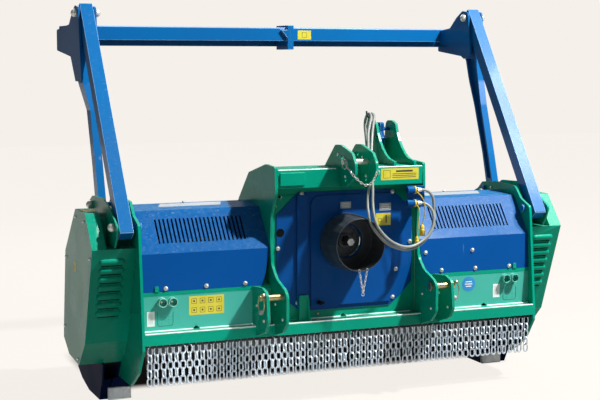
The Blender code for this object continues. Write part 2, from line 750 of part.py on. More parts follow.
def centre_cover():
    """Green mounting frame and the blue eight-sided cover of the gearbox."""
    reach = CENTRE_IN - GAP
    low = BEAM_TOP + GAP
    high = TOP_BEAM_LOW - GAP
    window = [(-0.250, 0.460, 0.05), (-0.250, 0.900, 0.05), (0.250, 0.900, 0.05),
              (0.250, 0.460, 0.05)]
    frame = plate_y([(-reach, low), *drain_notch(-0.009, low), (reach, low), (reach, high),
                     (-reach, high)], COVER_FRAME_Y,
                    [rounded(window), ring(-0.343, 0.942, 0.007, 8), ring(0.343, 0.942, 0.007, 8),
                     ring(-0.343, 0.888, 0.007, 8), ring(0.343, 0.888, 0.007, 8),
                     ring(-0.318, 0.930, 0.007, 8), ring(0.318, 0.930, 0.007, 8)])
    node("cover_frame", frame, GREEN)
    half = [(0.232, 0.948), (0.335, 0.850), (0.335, 0.515), (0.278, 0.455), (0.222, 0.411)]
    outline = half + [(-x, z) for x, z in reversed(half)]
    cover = plate_y(outline, CENTRE_COVER_Y)
    rib = plate_y([(-0.240, 0.425), (-0.240, 0.935), (-0.190, 0.935), (-0.190, 0.425)],
                  (CENTRE_COVER_Y[0] - 0.012, CENTRE_COVER_Y[0] + 0.001))
    panel = plate_y([(-0.172, 0.430), (-0.172, 0.930, 0.04), (0.225, 0.930), (0.225, 0.430)],
                    (CENTRE_PANEL_Y, CENTRE_COVER_Y[0] + 0.001))
    bore = rod((0.0, 0.0, DRIVE_Z), (0.0, 0.1, DRIVE_Z), CENTRE_HOLE_R, 20)
    node("gearbox_cover", cut(unite(cover, merge(rib, panel)), bore), NAVY)


def pto_guard():
    """Bell-shaped guard round the input shaft."""
    base = CENTRE_PANEL_Y - GAP
    wall = 0.004
    profile = [(GUARD_R, base), (GUARD_R - 0.002, -0.020), (GUARD_MOUTH_R, GUARD_FRONT_Y),
               (GUARD_MOUTH_R - wall, GUARD_FRONT_Y), (GUARD_R - 0.002 - wall, -0.020),
               (GUARD_R - wall, base - wall), (CENTRE_HOLE_R + 0.005, base - wall),
               (CENTRE_HOLE_R + 0.005, base)]
    node("pto_guard", turned_y(profile, 0.0, DRIVE_Z, 24), BLACK)


def gearbox():
    """Bevel gearbox on the housing, with a nose for the input shaft."""
    body = plate_x([(0.245, SHELL_TOP + GAP), (0.245, 0.830, 0.03), (0.475, 0.830, 0.03),
                    (0.475, SHELL_TOP + GAP)], (-0.105, 0.105))
    nose = rod((0.0, COVER_FRAME_Y[1] + 0.006, DRIVE_Z), (0.0, 0.250, DRIVE_Z), 0.066, 20)
    arms = rod_x((-0.150, 0.150), DRIVE_Y, DRIVE_Z, 0.058, 20)
    input_bore = rod((0.0, 0.050, DRIVE_Z), (0.0, INPUT_REAR_Y + 0.004, DRIVE_Z),
                     clear(INPUT_SHAFT_R))
    cross_bore = rod_x((-0.2, 0.2), DRIVE_Y, DRIVE_Z, clear(CROSS_SHAFT_R, SHAFT_SIDES),
                       SHAFT_SIDES)
    shape = cut(unite(body, nose, arms), input_bore, cross_bore)
    node("gearbox", shape, CAST, (0.0, DRIVE_Y, DRIVE_Z))


def input_shaft():
    """Six-spline stub that the tractor's drive shaft slides on."""
    splines = []
    for k in range(6):
        for turn, radius in ((-0.30, INPUT_SHAFT_R), (0.30, INPUT_SHAFT_R),
                             (0.32, INPUT_SHAFT_R - 0.0025), (0.72, INPUT_SHAFT_R - 0.0025)):
            angle = k * math.tau / 6 + turn
            splines.append((radius * math.cos(angle), DRIVE_Z + radius * math.sin(angle)))
    stub = plate_y(splines, (INPUT_END_Y, 0.075))
    shaft = rod((0.0, 0.070, DRIVE_Z), (0.0, INPUT_REAR_Y, DRIVE_Z), INPUT_SHAFT_R)
    node("input_shaft", unite(stub, shaft), STEEL, (0.0, 0.0, DRIVE_Z))


def cross_shaft():
    """Shaft from the gearbox out to both belt drives."""
    shaft = rod_x((-SHAFT_REACH, SHAFT_REACH), DRIVE_Y, DRIVE_Z, CROSS_SHAFT_R, SHAFT_SIDES)
    node("cross_shaft", shaft, STEEL, (0.0, DRIVE_Y, DRIVE_Z))


def pulley(radius, bore, y, z):
    x0, x1 = left(PULLEY_X)
    groove = radius - GROOVE_DEPTH
    bore_r = clear(bore, SHAFT_SIDES)
    profile = [(radius, x0), (radius, x0 + 0.006), (groove, x0 + 0.014), (groove, x1 - 0.014),
               (radius, x1 - 0.006), (radius, x1), (bore_r, x1), (bore_r, x0)]
    return turned_x(profile, y, z, SHAFT_SIDES)


def belt_loop(radius_top, radius_low, steps=8):
    """Outline of a belt round both pulleys, from the upper one over to the lower."""
    top = Vector((DRIVE_Y, DRIVE_Z))
    low = Vector((ROTOR_Y, ROTOR_Z))
    between = low - top
    heading = math.atan2(between.y, between.x)
    lean = math.acos((radius_top - radius_low) / between.length)
    points = []
    for centre, radius, start, sweep in (
            (top, radius_top, heading + lean, math.tau - 2 * lean),
            (low, radius_low, heading - lean, 2 * lean)):
        for k in range(steps + 1):
            angle = start + sweep * k / steps
            points.append(centre + Vector((math.cos(angle), math.sin(angle))) * radius)
    return points


def belt_drives():
    """Pulleys and belts at both ends of the machine."""
    upper = pulley(UPPER_PULLEY_R, CROSS_SHAFT_R, DRIVE_Y, DRIVE_Z)
    lower = pulley(LOWER_PULLEY_R, ROTOR_SHAFT_R, ROTOR_Y, ROTOR_Z)
    both_sides("upper_pulley", upper, CAST, (-PULLEY_X[0], DRIVE_Y, DRIVE_Z))
    both_sides("lower_pulley", lower, CAST, (-PULLEY_X[0], ROTOR_Y, ROTOR_Z))
    inner = []
    for radius in (UPPER_PULLEY_R, LOWER_PULLEY_R):
        inner.append(clear(radius - GROOVE_DEPTH, 15))
    inside = belt_loop(*inner)
    outside = belt_loop(inner[0] + BELT_T, inner[1] + BELT_T)
    x0, x1 = left(PULLEY_X)
    band = flat_solid(outside, [inside], x1 - x0 - 0.034)
    band.rotation_euler = (math.pi / 2, 0.0, math.pi / 2)
    band.location = ((x0 + x1) / 2, 0.0, 0.0)
    both_sides("drive_belt", bake(band), RUBBER)


def belt_covers():
    """Folded covers over the belts, stepped down behind the push frame's foot."""
    outer = [(0.085, 0.733), (0.205, 0.878), (0.390, 0.880), (0.605, 0.668), (0.663, 0.317),
             (0.669, 0.254), (0.561, 0.192), (0.365, 0.181), (0.245, 0.300)]
    step = [(0.085, 0.733), (0.2155, 0.733), (0.232, 0.850), (0.455, 0.850), (0.605, 0.700),
            (0.605, 0.668), (0.663, 0.317), (0.669, 0.254), (0.561, 0.192), (0.365, 0.181),
            (0.245, 0.300)]
    step_in = [(0.092, 0.729), (0.2190, 0.729), (0.236, 0.846), (0.453, 0.846), (0.5995, 0.698),
               (0.601, 0.667), (0.659, 0.317), (0.665, 0.256), (0.560, 0.196), (0.367, 0.185),
               (0.2485, 0.302)]
    rim = -SIDE_OUT - GAP
    shape = unite(plate_x(outer, (-COVER_OUT, -COVER_STEP)),
                  plate_x(step, (-COVER_STEP - 0.002, rim)))
    hollow = unite(plate_x(inset(outer, SHEET), (-COVER_OUT + SHEET, -COVER_STEP - SHEET)),
                   plate_x(step_in, (-COVER_STEP - SHEET - 0.002, rim + 0.01)))
    shape = cut(shape, hollow)
    top = Vector((0.085, 0.733))
    down = (Vector((0.245, 0.300)) - top).normalized()
    out = Vector((down.y, -down.x))
    louvre_x = (SIDE_OUT + 0.050, COVER_OUT - 0.041)
    louvres = []
    slots = []
    for k in range(7):
        centre = top + down * (0.062 + 0.0420 * k)
        ridge = [centre - down * 0.012 + out * -0.001, centre + out * 0.009,
                 centre + down * 0.010 + out * 0.009, centre + down * 0.013 + out * -0.001]
        louvres.append(plate_x([tuple(p) for p in ridge[::-1]], left(louvre_x)))
        gap = [centre + down * 0.014 + out * 0.02, centre + down * 0.021 + out * 0.02,
               centre + down * 0.021 - out * 0.02, centre + down * 0.014 - out * 0.02]
        slots.append(plate_x([tuple(p) for p in gap[::-1]],
                             (-louvre_x[1] + 0.004, -louvre_x[0] - 0.004)))
    shape = cut(unite(shape, merge(*louvres)), merge(*slots))
    both_sides("belt_cover", shape, GREEN, (-COVER_OUT, DRIVE_Y, DRIVE_Z))


def rotor():
    """Drum with toothed tools set on a steep helix, on its end shafts."""
    drum = rod_x((-DRUM_HALF, DRUM_HALF), ROTOR_Y, ROTOR_Z, DRUM_R, 24)
    shaft = rod_x((-SHAFT_REACH, SHAFT_REACH), ROTOR_Y, ROTOR_Z, ROTOR_SHAFT_R, SHAFT_SIDES)
    tooth = [(0.026, DRUM_R - 0.006), (0.034, DRUM_R + 0.030), (0.014, TOOL_TIP_R),
             (-0.010, TOOL_TIP_R - 0.004), (-0.014, DRUM_R + 0.036), (-0.036, DRUM_R - 0.006)]
    pitch = 2 * (DRUM_HALF - TOOL_END) / (TOOL_COUNT - 1)
    tools = []
    for k in range(TOOL_COUNT):
        x = -DRUM_HALF + TOOL_END + pitch * k
        tool = plate_x(tooth, (x - TOOL_WIDTH / 2, x + TOOL_WIDTH / 2))
        turn = Matrix.Rotation(TOOL_TURN * k, 4, "X")
        tool.data.transform(Matrix.Translation((0.0, ROTOR_Y, ROTOR_Z)) @ turn)
        tools.append(tool)
    shape = unite(drum, shaft, merge(*tools[0::2]), merge(*tools[1::2]))
    node("rotor", shape, STEEL, (0.0, ROTOR_Y, ROTOR_Z))


def rotor_bearings():
    """Square flanged bearings outside the side plates."""
    x = (-SIDE_OUT - BEARING_T, -SIDE_OUT - GAP)
    half = 0.062
    flange = plate_x([(ROTOR_Y - half, ROTOR_Z - half, 0.02), (ROTOR_Y - half, ROTOR_Z + half, 0.02),
                      (ROTOR_Y + half, ROTOR_Z + half, 0.02), (ROTOR_Y + half, ROTOR_Z - half, 0.02)],
                     (x[1] - 0.012, x[1]), [hole(ROTOR_Y, ROTOR_Z, ROTOR_SHAFT_R, SHAFT_SIDES)])
    bore = clear(ROTOR_SHAFT_R, SHAFT_SIDES)
    hub = turned_x([(0.055, x[0]), (0.055, x[1] - 0.010), (bore, x[1] - 0.010), (bore, x[0])],
                   ROTOR_Y, ROTOR_Z, SHAFT_SIDES)
    both_sides("rotor_bearing", unite(flange, hub), CAST, (-SIDE_OUT, ROTOR_Y, ROTOR_Z))


def counter_blade():
    """Shelf and blade that the rotor's tools cut against."""
    reach = HALF_WORK - GAP
    wall = SHELL_Y + SHELL_T + GAP
    edge = ROTOR_Y - TOOL_TIP_R - 0.013
    outline = [(wall, BLADE_TOP - 0.012), (wall, BLADE_TOP), (edge, BLADE_TOP), (edge, BLADE_LOW),
               (edge - 0.028, BLADE_LOW), (edge - 0.032, BLADE_TOP - 0.012)]
    node("counter_blade", plate_x(outline, (-reach, reach)), WEAR)


def rear_door():
    """Door behind the rotor, with its hinge tube and cylinder ears."""
    reach = HALF_WORK - 3 * GAP
    line = [(DOOR_HINGE_Y + 0.006, DOOR_HINGE_Z + 0.006), (DOOR_REAR_Y, DOOR_KNEE),
            (DOOR_REAR_Y, DOOR_LOW)]
    sheet = plate_x(folded(line, SHELL_T), (-reach, reach))
    barrel = rod_x((-HALF_WORK - 0.008, HALF_WORK + 0.008), DOOR_HINGE_Y, DOOR_HINGE_Z,
                   DOOR_HINGE_R)
    pin_y, pin_z = DOOR_PIN
    ear = [(DOOR_HINGE_Y, DOOR_HINGE_Z - 0.004), (pin_y - 0.025, pin_z + 0.015, 0.018),
           (pin_y, pin_z + 0.027, 0.018), (pin_y + 0.025, pin_z + 0.015, 0.018),
           (DOOR_REAR_Y - 0.003, DOOR_KNEE + 0.008)]
    ears = []
    pins = []
    for middle in (-CYLINDER_X, CYLINDER_X):
        for side in (-0.0190, 0.0190):
            x = middle + side
            ears.append(plate_x(ear, (x - 0.005, x + 0.005)))
        pins.append(rod_x((middle - 0.022, middle + 0.022), pin_y, pin_z, DOOR_PIN_R))
    shape = unite(sheet, barrel, merge(*ears), merge(*pins))
    node("rear_door", shape, GREEN, (0.0, DOOR_HINGE_Y, DOOR_HINGE_Z))


def cylinder_point(along):
    y, z = CYLINDER_BASE
    return (-CYLINDER_X, y + along * math.cos(CYLINDER_TILT), z - along * math.sin(CYLINDER_TILT))


def door_cylinders():
    """Hydraulic cylinders that open the rear door."""
    base = cylinder_point(0.0)
    eye = rod_x((-CYLINDER_X - 0.014, -CYLINDER_X + 0.014), base[1], base[2], 0.021)
    pin = rod_x((-CYLINDER_X - 0.040, -CYLINDER_X + 0.040), base[1], base[2], DOOR_PIN_R)
    barrel = rod(cylinder_point(0.012), cylinder_point(CYLINDER_END), CYLINDER_R)
    bore = rod(cylinder_point(0.035), cylinder_point(CYLINDER_END + 0.02),
               clear(PISTON_ROD_R))
    barrel = cut(unite(barrel, eye, pin), bore)
    both_sides("cylinder_barrel", barrel, BLACK, base)
    end = cylinder_point(CYLINDER_LENGTH)
    stem = rod(cylinder_point(0.118), cylinder_point(CYLINDER_LENGTH - 0.020), PISTON_ROD_R)
    half = 0.010
    ring_eye = plate_x([tuple(p) for p in ring(end[1], end[2], ROD_EYE_R)],
                       (-CYLINDER_X - half, -CYLINDER_X + half),
                       [ring(end[1], end[2], ROD_EYE_HOLE_R)])
    both_sides("piston_rod", unite(stem, ring_eye), STEEL, end)


def chain_strand(x):
    """Outline of one hanging strand, wide where a link is seen face-on."""
    neck = LINK_WIRE / 2
    right = [(x + neck, CHAIN_BAR_Z - 0.003)]
    top = CHAIN_BAR_Z - 0.016
    for k in range(0, LINK_COUNT, 2):
        middle = top - LINK_PITCH * k
        right.append((x + LINK_HALF_WIDTH, middle + 0.012))
        right.append((x + LINK_HALF_WIDTH, middle - 0.012))
        if k + 2 < LINK_COUNT:
            right.append((x + neck, middle - LINK_PITCH))
    right.append((x + neck, top - LINK_PITCH * (LINK_COUNT - 1) - 0.021))
    return right + [(2 * x - u, v) for u, v in reversed(right)]


def chain_curtains():
    """Rows of hanging chain, each row on one bar under the front beam."""
    outline = [(-HALF_WORK + 0.006, CHAIN_BAR_Z + 0.003), (-HALF_WORK + 0.006, CHAIN_BAR_Z - 0.003)]
    for k in reversed(range(CHAIN_HALF_COUNT)):
        outline += chain_strand(-CHAIN_FIRST - CHAIN_PITCH * k)[::-1]
    outline += [(-0.006, CHAIN_BAR_Z - 0.003), (-0.006, CHAIN_BAR_Z + 0.003)]
    half = LINK_WIRE / 2
    comb = plate_y(outline, (CHAIN_BAR_Y - half, CHAIN_BAR_Y + half))
    bar = rod_x((-HALF_WORK - 0.006, -GAP), CHAIN_BAR_Y, CHAIN_BAR_Z, CHAIN_BAR_R, 8)
    both_sides("chain_curtain", unite(bar, comb), GALVANISED,
               (-HALF_WORK / 2, CHAIN_BAR_Y, CHAIN_BAR_Z))


def skids():
    """Box-shaped skids under the side plates, each with a wear strip in front."""
    front = SKID_FRONT + 0.001
    low = 0.003
    wall = plate_x([(front, low), (0.620, low), (0.756, 0.030), (0.837, 0.067),
                    (0.800, SKID_TOP), (0.345, SKID_TOP), (0.360, 0.110)],
                   (-SKID_X[1], -SKID_X[1] + SKID_T))
    runner = plate_x(folded([(0.836, 0.068), (0.756, 0.028), (0.620, 0.0), (SKID_FRONT, 0.0)],
                            SKID_T), (-SKID_X[1] + 0.001, -SKID_X[0] - 0.001))
    inner = plate_x([(front, low), (0.620, low), (0.756, 0.030), (0.790, 0.070),
                     (0.700, 0.092), (front, 0.092)], (-SKID_X[0] - SKID_T, -SKID_X[0]))
    web = plate_x([(front, low), (0.620, low), (0.756, 0.032), (0.800, 0.080),
                   (0.780, SKID_TOP), (0.360, SKID_TOP), (front, 0.096)],
                  (-SIDE_OUT - SKID_T, -SIDE_OUT - GAP))
    lid = block((-SKID_X[1] + 0.002, -SIDE_OUT - 0.004), (0.430, 0.760),
                (SKID_TOP - 0.009, SKID_TOP - 0.001))
    face = block((-SKID_X[1] + 0.003, -SKID_X[0] - 0.003), (SKID_FRONT, SKID_FRONT + SKID_T),
                 (0.004, 0.090))
    inside = -SKID_X[0] - 0.002
    outside = -SKID_X[1] + 0.038
    nose = plate_y([(outside + 0.008, 0.058, 0.004), (outside + 0.027, 0.099), (inside, 0.099),
                    (inside, 0.058)], (SKID_FRONT - 0.016, SKID_FRONT + 0.004))
    skid = unite(runner, wall, inner, web, lid, face, nose)
    both_sides("skid", skid, NAVY, (-SIDE_OUT, SKID_FRONT, 0.0))
    strip = plate_y([(outside, 0.0), (outside, 0.054, 0.004), (inside, 0.054, 0.004),
                     (inside, 0.0)], (SKID_FRONT - 0.020, SKID_FRONT - GAP))
    both_sides("wear_strip", strip, WEAR)


def frame_brackets():
    """Outer plates beside the side plates, between which the push frame stands."""
    low = 0.7375
    seat = 0.8505
    outline = [(0.088, low), (0.060, 0.776, 0.02), (0.035, 0.831, 0.015), (0.101, 0.868, 0.03),
               (0.190, 0.908, 0.03), (0.278, 0.935, 0.02), (0.470, 0.928, 0.02), (0.560, 0.885),
               (0.560, seat), (0.228, seat), (0.2115, low)]
    plate = plate_x(outline, left(BRACKET_X),
                    [hole(*BRACE_LOW_PIN, FRAME_PIN_R), hole(STRUT_PIN_Y, STRUT_PIN_Z, FRAME_PIN_R)])
    base = block((-BRACKET_X[0] - 0.004, -SIDE_OUT - GAP), (0.240, 0.500), BRACKET_BASE_Z)
    both_sides("frame_bracket", unite(plate, base), GREEN, (-SIDE_OUT, STRUT_PIN_Y, STRUT_PIN_Z))


def frame_pin(y, z, outer, inner):
    """A pin with a head outside each of the two plates that it passes."""
    head = 0.014
    pin = rod_x((-outer - head, -inner + head), y, z, FRAME_PIN_R)
    heads = merge(rod_x((-outer - head, -outer - GAP), y, z, FRAME_PIN_HEAD_R, 12),
                  rod_x((-inner + GAP, -inner + head), y, z, FRAME_PIN_HEAD_R, 12))
    return unite(pin, heads)


def braces():
    """Box-section braces with their pins."""
    corners = [brace_point(0.0, 0.0), brace_point(BRACE_LENGTH, 0.0),
               brace_point(BRACE_LENGTH, BRACE_DEPTH), brace_point(0.0, BRACE_DEPTH)]
    bar = plate_x([(*c, 0.006) for c in corners], left(BRACE_X), steps=2)
    low = frame_pin(*BRACE_LOW_PIN, BRACKET_X[1], HALF_WORK)
    top = frame_pin(*BRACE_TOP_PIN, HEAD_OUTER_X[1], HEAD_INNER_X[0])
    both_sides("brace", unite(bar, low, top), BLUE, (-BRACE_X[0], *BRACE_LOW_PIN))


def cranked(shape, heights, step):
    """The same shape with its upper part moved sideways, over a slope between two heights."""
    low, high = heights
    bm = bmesh.new()
    bm.from_mesh(shape.data)
    for z in heights:
        bmesh.ops.bisect_plane(bm, geom=[*bm.verts, *bm.edges, *bm.faces], dist=1e-6,
                               plane_co=(0.0, 0.0, z), plane_no=(0.0, 0.0, 1.0))
    for corner in bm.verts:
        rise = (corner.co.z - low) / (high - low)
        corner.co.x += step * min(1.0, max(0.0, rise))
    bm.to_mesh(shape.data)
    bm.free()
    return shape


def struts():
    """Rear legs of the push frame with the plates that hold brace and push bar."""
    low, high = STRUT_CRANK
    step = STRUT_X[1] - HEAD_OUTER_X[0] - 0.001
    bar = plate_x([(0.455, 0.870, 0.02), (0.468, 0.905), (0.515, 1.060), (0.598, low, 0.10),
                   (0.658, high, 0.10), (0.705, 1.600), (0.745, 1.670), (0.840, 1.670),
                   (0.800, 1.560), (0.757, high, 0.10), (0.668, low, 0.10), (0.577, 1.060),
                   (0.532, 0.905), (0.520, 0.870, 0.02)], left(STRUT_X), steps=2)
    pocket = plate_x([(0.487, 0.935), (0.527, 1.060), (0.610, low), (0.670, high),
                      (0.703, 1.540), (0.780, 1.540), (0.745, high), (0.656, low),
                      (0.565, 1.060), (0.523, 0.935)], (-STRUT_X[0] - 0.020, -STRUT_X[0] + 0.010))
    bar = cranked(cut(bar, pocket), STRUT_CRANK, step)
    head = [(0.690, 1.690), (0.700, 1.778, 0.02), (0.760, 1.788, 0.02), (0.824, 1.755, 0.02),
            (0.893, 1.702)]
    outer = plate_x([(0.655, 1.436), *head, (REAR_REACH, 1.682, 0.01), (REAR_REACH, 1.582, 0.01),
                     (0.868, 1.551, 0.02), (0.774, 1.436)], left(HEAD_OUTER_X),
                    [hole(*BRACE_TOP_PIN, FRAME_PIN_R)])
    edge = PUSH_BAR_Y[0] - GAP
    gusset = [(edge, 1.690), (edge, 1.622, 0.01), (0.930, 1.614, 0.05), (0.830, 1.586, 0.05),
              (0.740, 1.540, 0.01)]
    inner = plate_x([(0.672, 1.560), *head, *gusset], left(HEAD_INNER_X),
                    [hole(*BRACE_TOP_PIN, FRAME_PIN_R)])
    spacer = block((-HEAD_OUTER_X[0] - 0.004, -HEAD_INNER_X[1] + 0.004), (0.760, 0.815),
                   (1.592, 1.655))
    foot = frame_pin(STRUT_PIN_Y, STRUT_PIN_Z, BRACKET_X[1], HALF_WORK)
    shape = unite(bar, spacer, merge(outer, inner), foot)
    both_sides("strut", shape, BLUE, (-STRUT_X[0], STRUT_PIN_Y, STRUT_PIN_Z))


def push_bars():
    """Two halves of the push bar, bolted together at a flange."""
    y0, y1 = PUSH_BAR_Y
    t = PUSH_BAR_T
    section = [(y0, PUSH_BAR_FRONT_LIP), (y0, PUSH_BAR_TOP, 0.006), (y1, PUSH_BAR_TOP, 0.006),
               (y1, PUSH_BAR_REAR_LIP), (y1 - t, PUSH_BAR_REAR_LIP), (y1 - t, PUSH_BAR_TOP - t),
               (y0 + t, PUSH_BAR_TOP - t), (y0 + t, PUSH_BAR_FRONT_LIP)]
    flange = [(y0 - 0.016, 1.588), (y0 - 0.016, PUSH_BAR_TOP + 0.012),
              (y1 - 0.010, PUSH_BAR_TOP + 0.012), (y1 - 0.010, 1.588)]
    reach = HEAD_OUTER_X[0] - GAP
    joint = (FLANGE_X - GAP / 2, FLANGE_X + GAP / 2)
    bar = plate_x(section, (-reach, joint[0]), steps=2)
    end = plate_x(flange, (joint[0] - FLANGE_T, joint[0]))
    root = joint[0] - 0.004
    rib = plate_y([(root - FLANGE_T - 0.030, PUSH_BAR_TOP - 0.012), (root, PUSH_BAR_TOP - 0.012),
                   (root, PUSH_BAR_FRONT_LIP)], (y0 - 0.014, y0 + 0.002))
    node("push_bar_left", unite(bar, end, rib), BLUE, (-reach, y0, PUSH_BAR_TOP))
    bar = plate_x(section, (joint[1], reach), steps=2)
    end = plate_x(flange, (joint[1], joint[1] + FLANGE_T))
    node("push_bar_right", unite(bar, end), BLUE, (reach, y0, PUSH_BAR_TOP))


def coupler_holder():
    """Small plate on the right centre plate with two parking couplers."""
    plate = plate_y([(0.270, 0.868), (0.270, 0.966), (CENTRE_IN - GAP, 0.966),
                     (CENTRE_IN - GAP, 0.868)], (COUPLER_Y + 0.012, COUPLER_Y + 0.021))
    flange = block((CENTRE_IN - 0.008, CENTRE_IN - GAP), (COUPLER_Y + 0.013, 0.056), (0.872, 0.932))
    sockets = [rod_x(COUPLER_X, COUPLER_Y, z, COUPLER_R) for z in COUPLER_Z]
    node("coupler_holder", unite(plate, flange, merge(*sockets)), NAVY)


# Routes of the two hoses, from the block behind the top beam, over the hook, down and
# round in front of the cover, to the parking couplers
HOSE_A = [(0.196, 0.200, 1.030 + GAP), (0.196, 0.200, 1.060), (0.196, 0.2015, 1.080),
          (0.1965, 0.208, 1.110), (0.197, 0.2200, 1.150), (0.1978, 0.2347, 1.195),
          (0.1983, 0.2417, 1.2142), (0.1985, 0.245, 1.233), (0.1983, 0.2408, 1.254), (0.1975, 0.2289, 1.2719),
          (0.196, 0.211, 1.2838), (0.193, 0.190, 1.2880), (0.189, 0.169, 1.2838),
          (0.184, 0.1511, 1.2719), (0.163, 0.118, 1.238), (0.140, 0.080, 1.192),
          (0.100, 0.006, 1.095), (0.077, -0.032, 1.045), (0.064, -0.052, 0.979),
          (0.045, -0.078, 0.912), (0.036, -0.106, 0.862), (0.041, -0.126, 0.813),
          (0.072, -0.133, 0.765), (0.120, -0.128, 0.723), (0.174, -0.113, 0.699),
          (0.226, -0.095, 0.687), (0.279, -0.082, 0.691), (0.331, -0.070, 0.715),
          (0.374, -0.060, 0.758), (0.393, -0.052, 0.805), (0.3945, -0.047, 0.850),
          (0.3930, -0.044, 0.8940), (0.3889, -0.042, 0.9147), (0.3772, -0.040, 0.9322),
          (0.3597, -0.0375, 0.9439), (0.339, -0.036, 0.948),
          (COUPLER_X[1] + GAP, COUPLER_Y, COUPLER_Z[0])]
HOSE_B = [(0.176, 0.200, 1.030 + GAP), (0.176, 0.200, 1.060), (0.176, 0.2015, 1.080),
          (0.1765, 0.208, 1.110), (0.178, 0.2200, 1.150), (0.180, 0.2347, 1.195),
          (0.1807, 0.2417, 1.2142), (0.181, 0.245, 1.233), (0.181, 0.2408, 1.254), (0.1805, 0.2289, 1.2719),
          (0.1795, 0.211, 1.2838), (0.177, 0.190, 1.2880), (0.173, 0.169, 1.2838),
          (0.168, 0.1511, 1.2719), (0.145, 0.118, 1.238), (0.120, 0.080, 1.192),
          (0.081, -0.010, 1.100), (0.072, -0.051, 1.045), (0.071, -0.073, 0.979),
          (0.061, -0.096, 0.912), (0.053, -0.124, 0.862), (0.058, -0.143, 0.815),
          (0.087, -0.147, 0.772), (0.128, -0.142, 0.737), (0.175, -0.128, 0.714),
          (0.225, -0.112, 0.701), (0.270, -0.099, 0.704), (0.310, -0.089, 0.719),
          (0.348, -0.081, 0.745), (0.373, -0.074, 0.779), (0.383, -0.068, 0.814),
          (0.3838, -0.062, 0.835), (0.3800, -0.055, 0.8553), (0.3685, -0.047, 0.8725),
          (0.3513, -0.040, 0.8840), (0.331, -0.036, 0.888),
          (COUPLER_X[1] + GAP, COUPLER_Y, COUPLER_Z[1])]


def hoses():
    """Two hydraulic hoses hung over the hook and parked in the couplers."""
    for name, places in (("hose_a", HOSE_A), ("hose_b", HOSE_B)):
        route = [places[0], *smooth_route(places[1:-1], 0.030), places[-1]]
        tube(name, route, HOSE_R, HOSE)


side_plates()
front_beam()
housing_shell()
front_panels()
centre_plates()
hitch_lugs()
hitch_pins()
top_beam()
top_link_bracket()
parking_mast()
hitch_latch()
hose_hook()
hoods()
centre_cover()
pto_guard()
gearbox()
input_shaft()
cross_shaft()
belt_drives()
belt_covers()
rotor()
rotor_bearings()
counter_blade()
rear_door()
door_cylinders()
chain_curtains()
skids()
frame_brackets()
braces()
struts()
push_bars()
coupler_holder()
hoses()
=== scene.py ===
"""Looks of the forestry mulcher: sprayed enamel, galvanised chain, rubber hoses and the small
fittings that the solids leave out.

Metres, +Z up, the tractor side faces -Y. Places are given as on the machine's drawing, with y
counted from the front face of the front beam; at() brings them into the model's frame.
"""
import json
import math
import random

import bmesh
import bpy
from mathutils import Matrix, Vector


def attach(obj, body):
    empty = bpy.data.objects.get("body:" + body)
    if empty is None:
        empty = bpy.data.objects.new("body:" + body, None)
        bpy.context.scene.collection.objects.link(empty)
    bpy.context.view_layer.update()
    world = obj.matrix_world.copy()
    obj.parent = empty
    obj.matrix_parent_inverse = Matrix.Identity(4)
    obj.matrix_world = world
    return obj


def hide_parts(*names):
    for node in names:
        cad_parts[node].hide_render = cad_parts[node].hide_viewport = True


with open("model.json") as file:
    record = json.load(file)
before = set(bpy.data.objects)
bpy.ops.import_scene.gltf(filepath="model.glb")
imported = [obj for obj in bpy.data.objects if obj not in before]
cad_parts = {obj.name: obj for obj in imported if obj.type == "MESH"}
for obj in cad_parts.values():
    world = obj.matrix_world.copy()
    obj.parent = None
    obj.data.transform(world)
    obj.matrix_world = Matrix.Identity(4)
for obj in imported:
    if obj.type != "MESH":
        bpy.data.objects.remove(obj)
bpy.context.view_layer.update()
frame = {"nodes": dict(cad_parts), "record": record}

MACHINE = "machine_frame"
MM_PER_M = 1000
BEAM_FRONT = -0.4995        # y of the front beam's front face in the model's frame
SIDES = ((-1, "left"), (1, "right"))
FRONT = (0.0, -1.0, 0.0)
LEFT = (-1.0, 0.0, 0.0)
RIGHT = (1.0, 0.0, 0.0)
UP = (0.0, 0.0, 1.0)

PANEL_Y = 0.048             # face of the front panels
COVER_Y = 0.060             # face of the eight-sided gearbox cover
RAISED_Y = 0.052            # face of its raised panel
BELT_COVER_X = 1.1632       # a hair outside the outer face of the belt covers
COUPLER_Y = -0.036          # the two parked couplers
COUPLER_Z = (0.948, 0.888)
BRACE_TOP = (0.7300, 1.7508)    # y and z of the push frame's pins
BRACE_LOW = (0.0943, 0.8247)
STRUT_LOW = (0.478, 0.886)

BACKDROP = "#f5f0ea"


def at(x, y, z):
    """A place on the drawing, in the model's frame."""
    return Vector((x, y + BEAM_FRONT, z))


# Nodes

def hex_colour(code):
    """Linear colour of an sRGB hex value."""
    levels = [int(code[k:k + 2], 16) / 255 for k in (1, 3, 5)]
    return (*(v / 12.92 if v <= 0.04045 else ((v + 0.055) / 1.055) ** 2.4 for v in levels), 1.0)


def add(tree, kind, settings=None, inputs=None):
    """A node with its settings; an input that is an output socket becomes a link."""
    made = tree.nodes.new(kind)
    for name, value in (settings or {}).items():
        setattr(made, name, value)
    for name, value in (inputs or {}).items():
        if isinstance(value, bpy.types.NodeSocket):
            tree.links.new(value, made.inputs[name])
        else:
            made.inputs[name].default_value = value
    return made


def empty_material(name):
    mat = bpy.data.materials.new(name)
    mat.use_nodes = True
    mat.node_tree.nodes.clear()
    return mat, mat.node_tree


def shaded(tree, inputs):
    """The surface shader with its inputs, and the material's output."""
    shader = add(tree, "ShaderNodeBsdfPrincipled", {}, inputs)
    add(tree, "ShaderNodeOutputMaterial", {}, {"Surface": shader.outputs[0]})


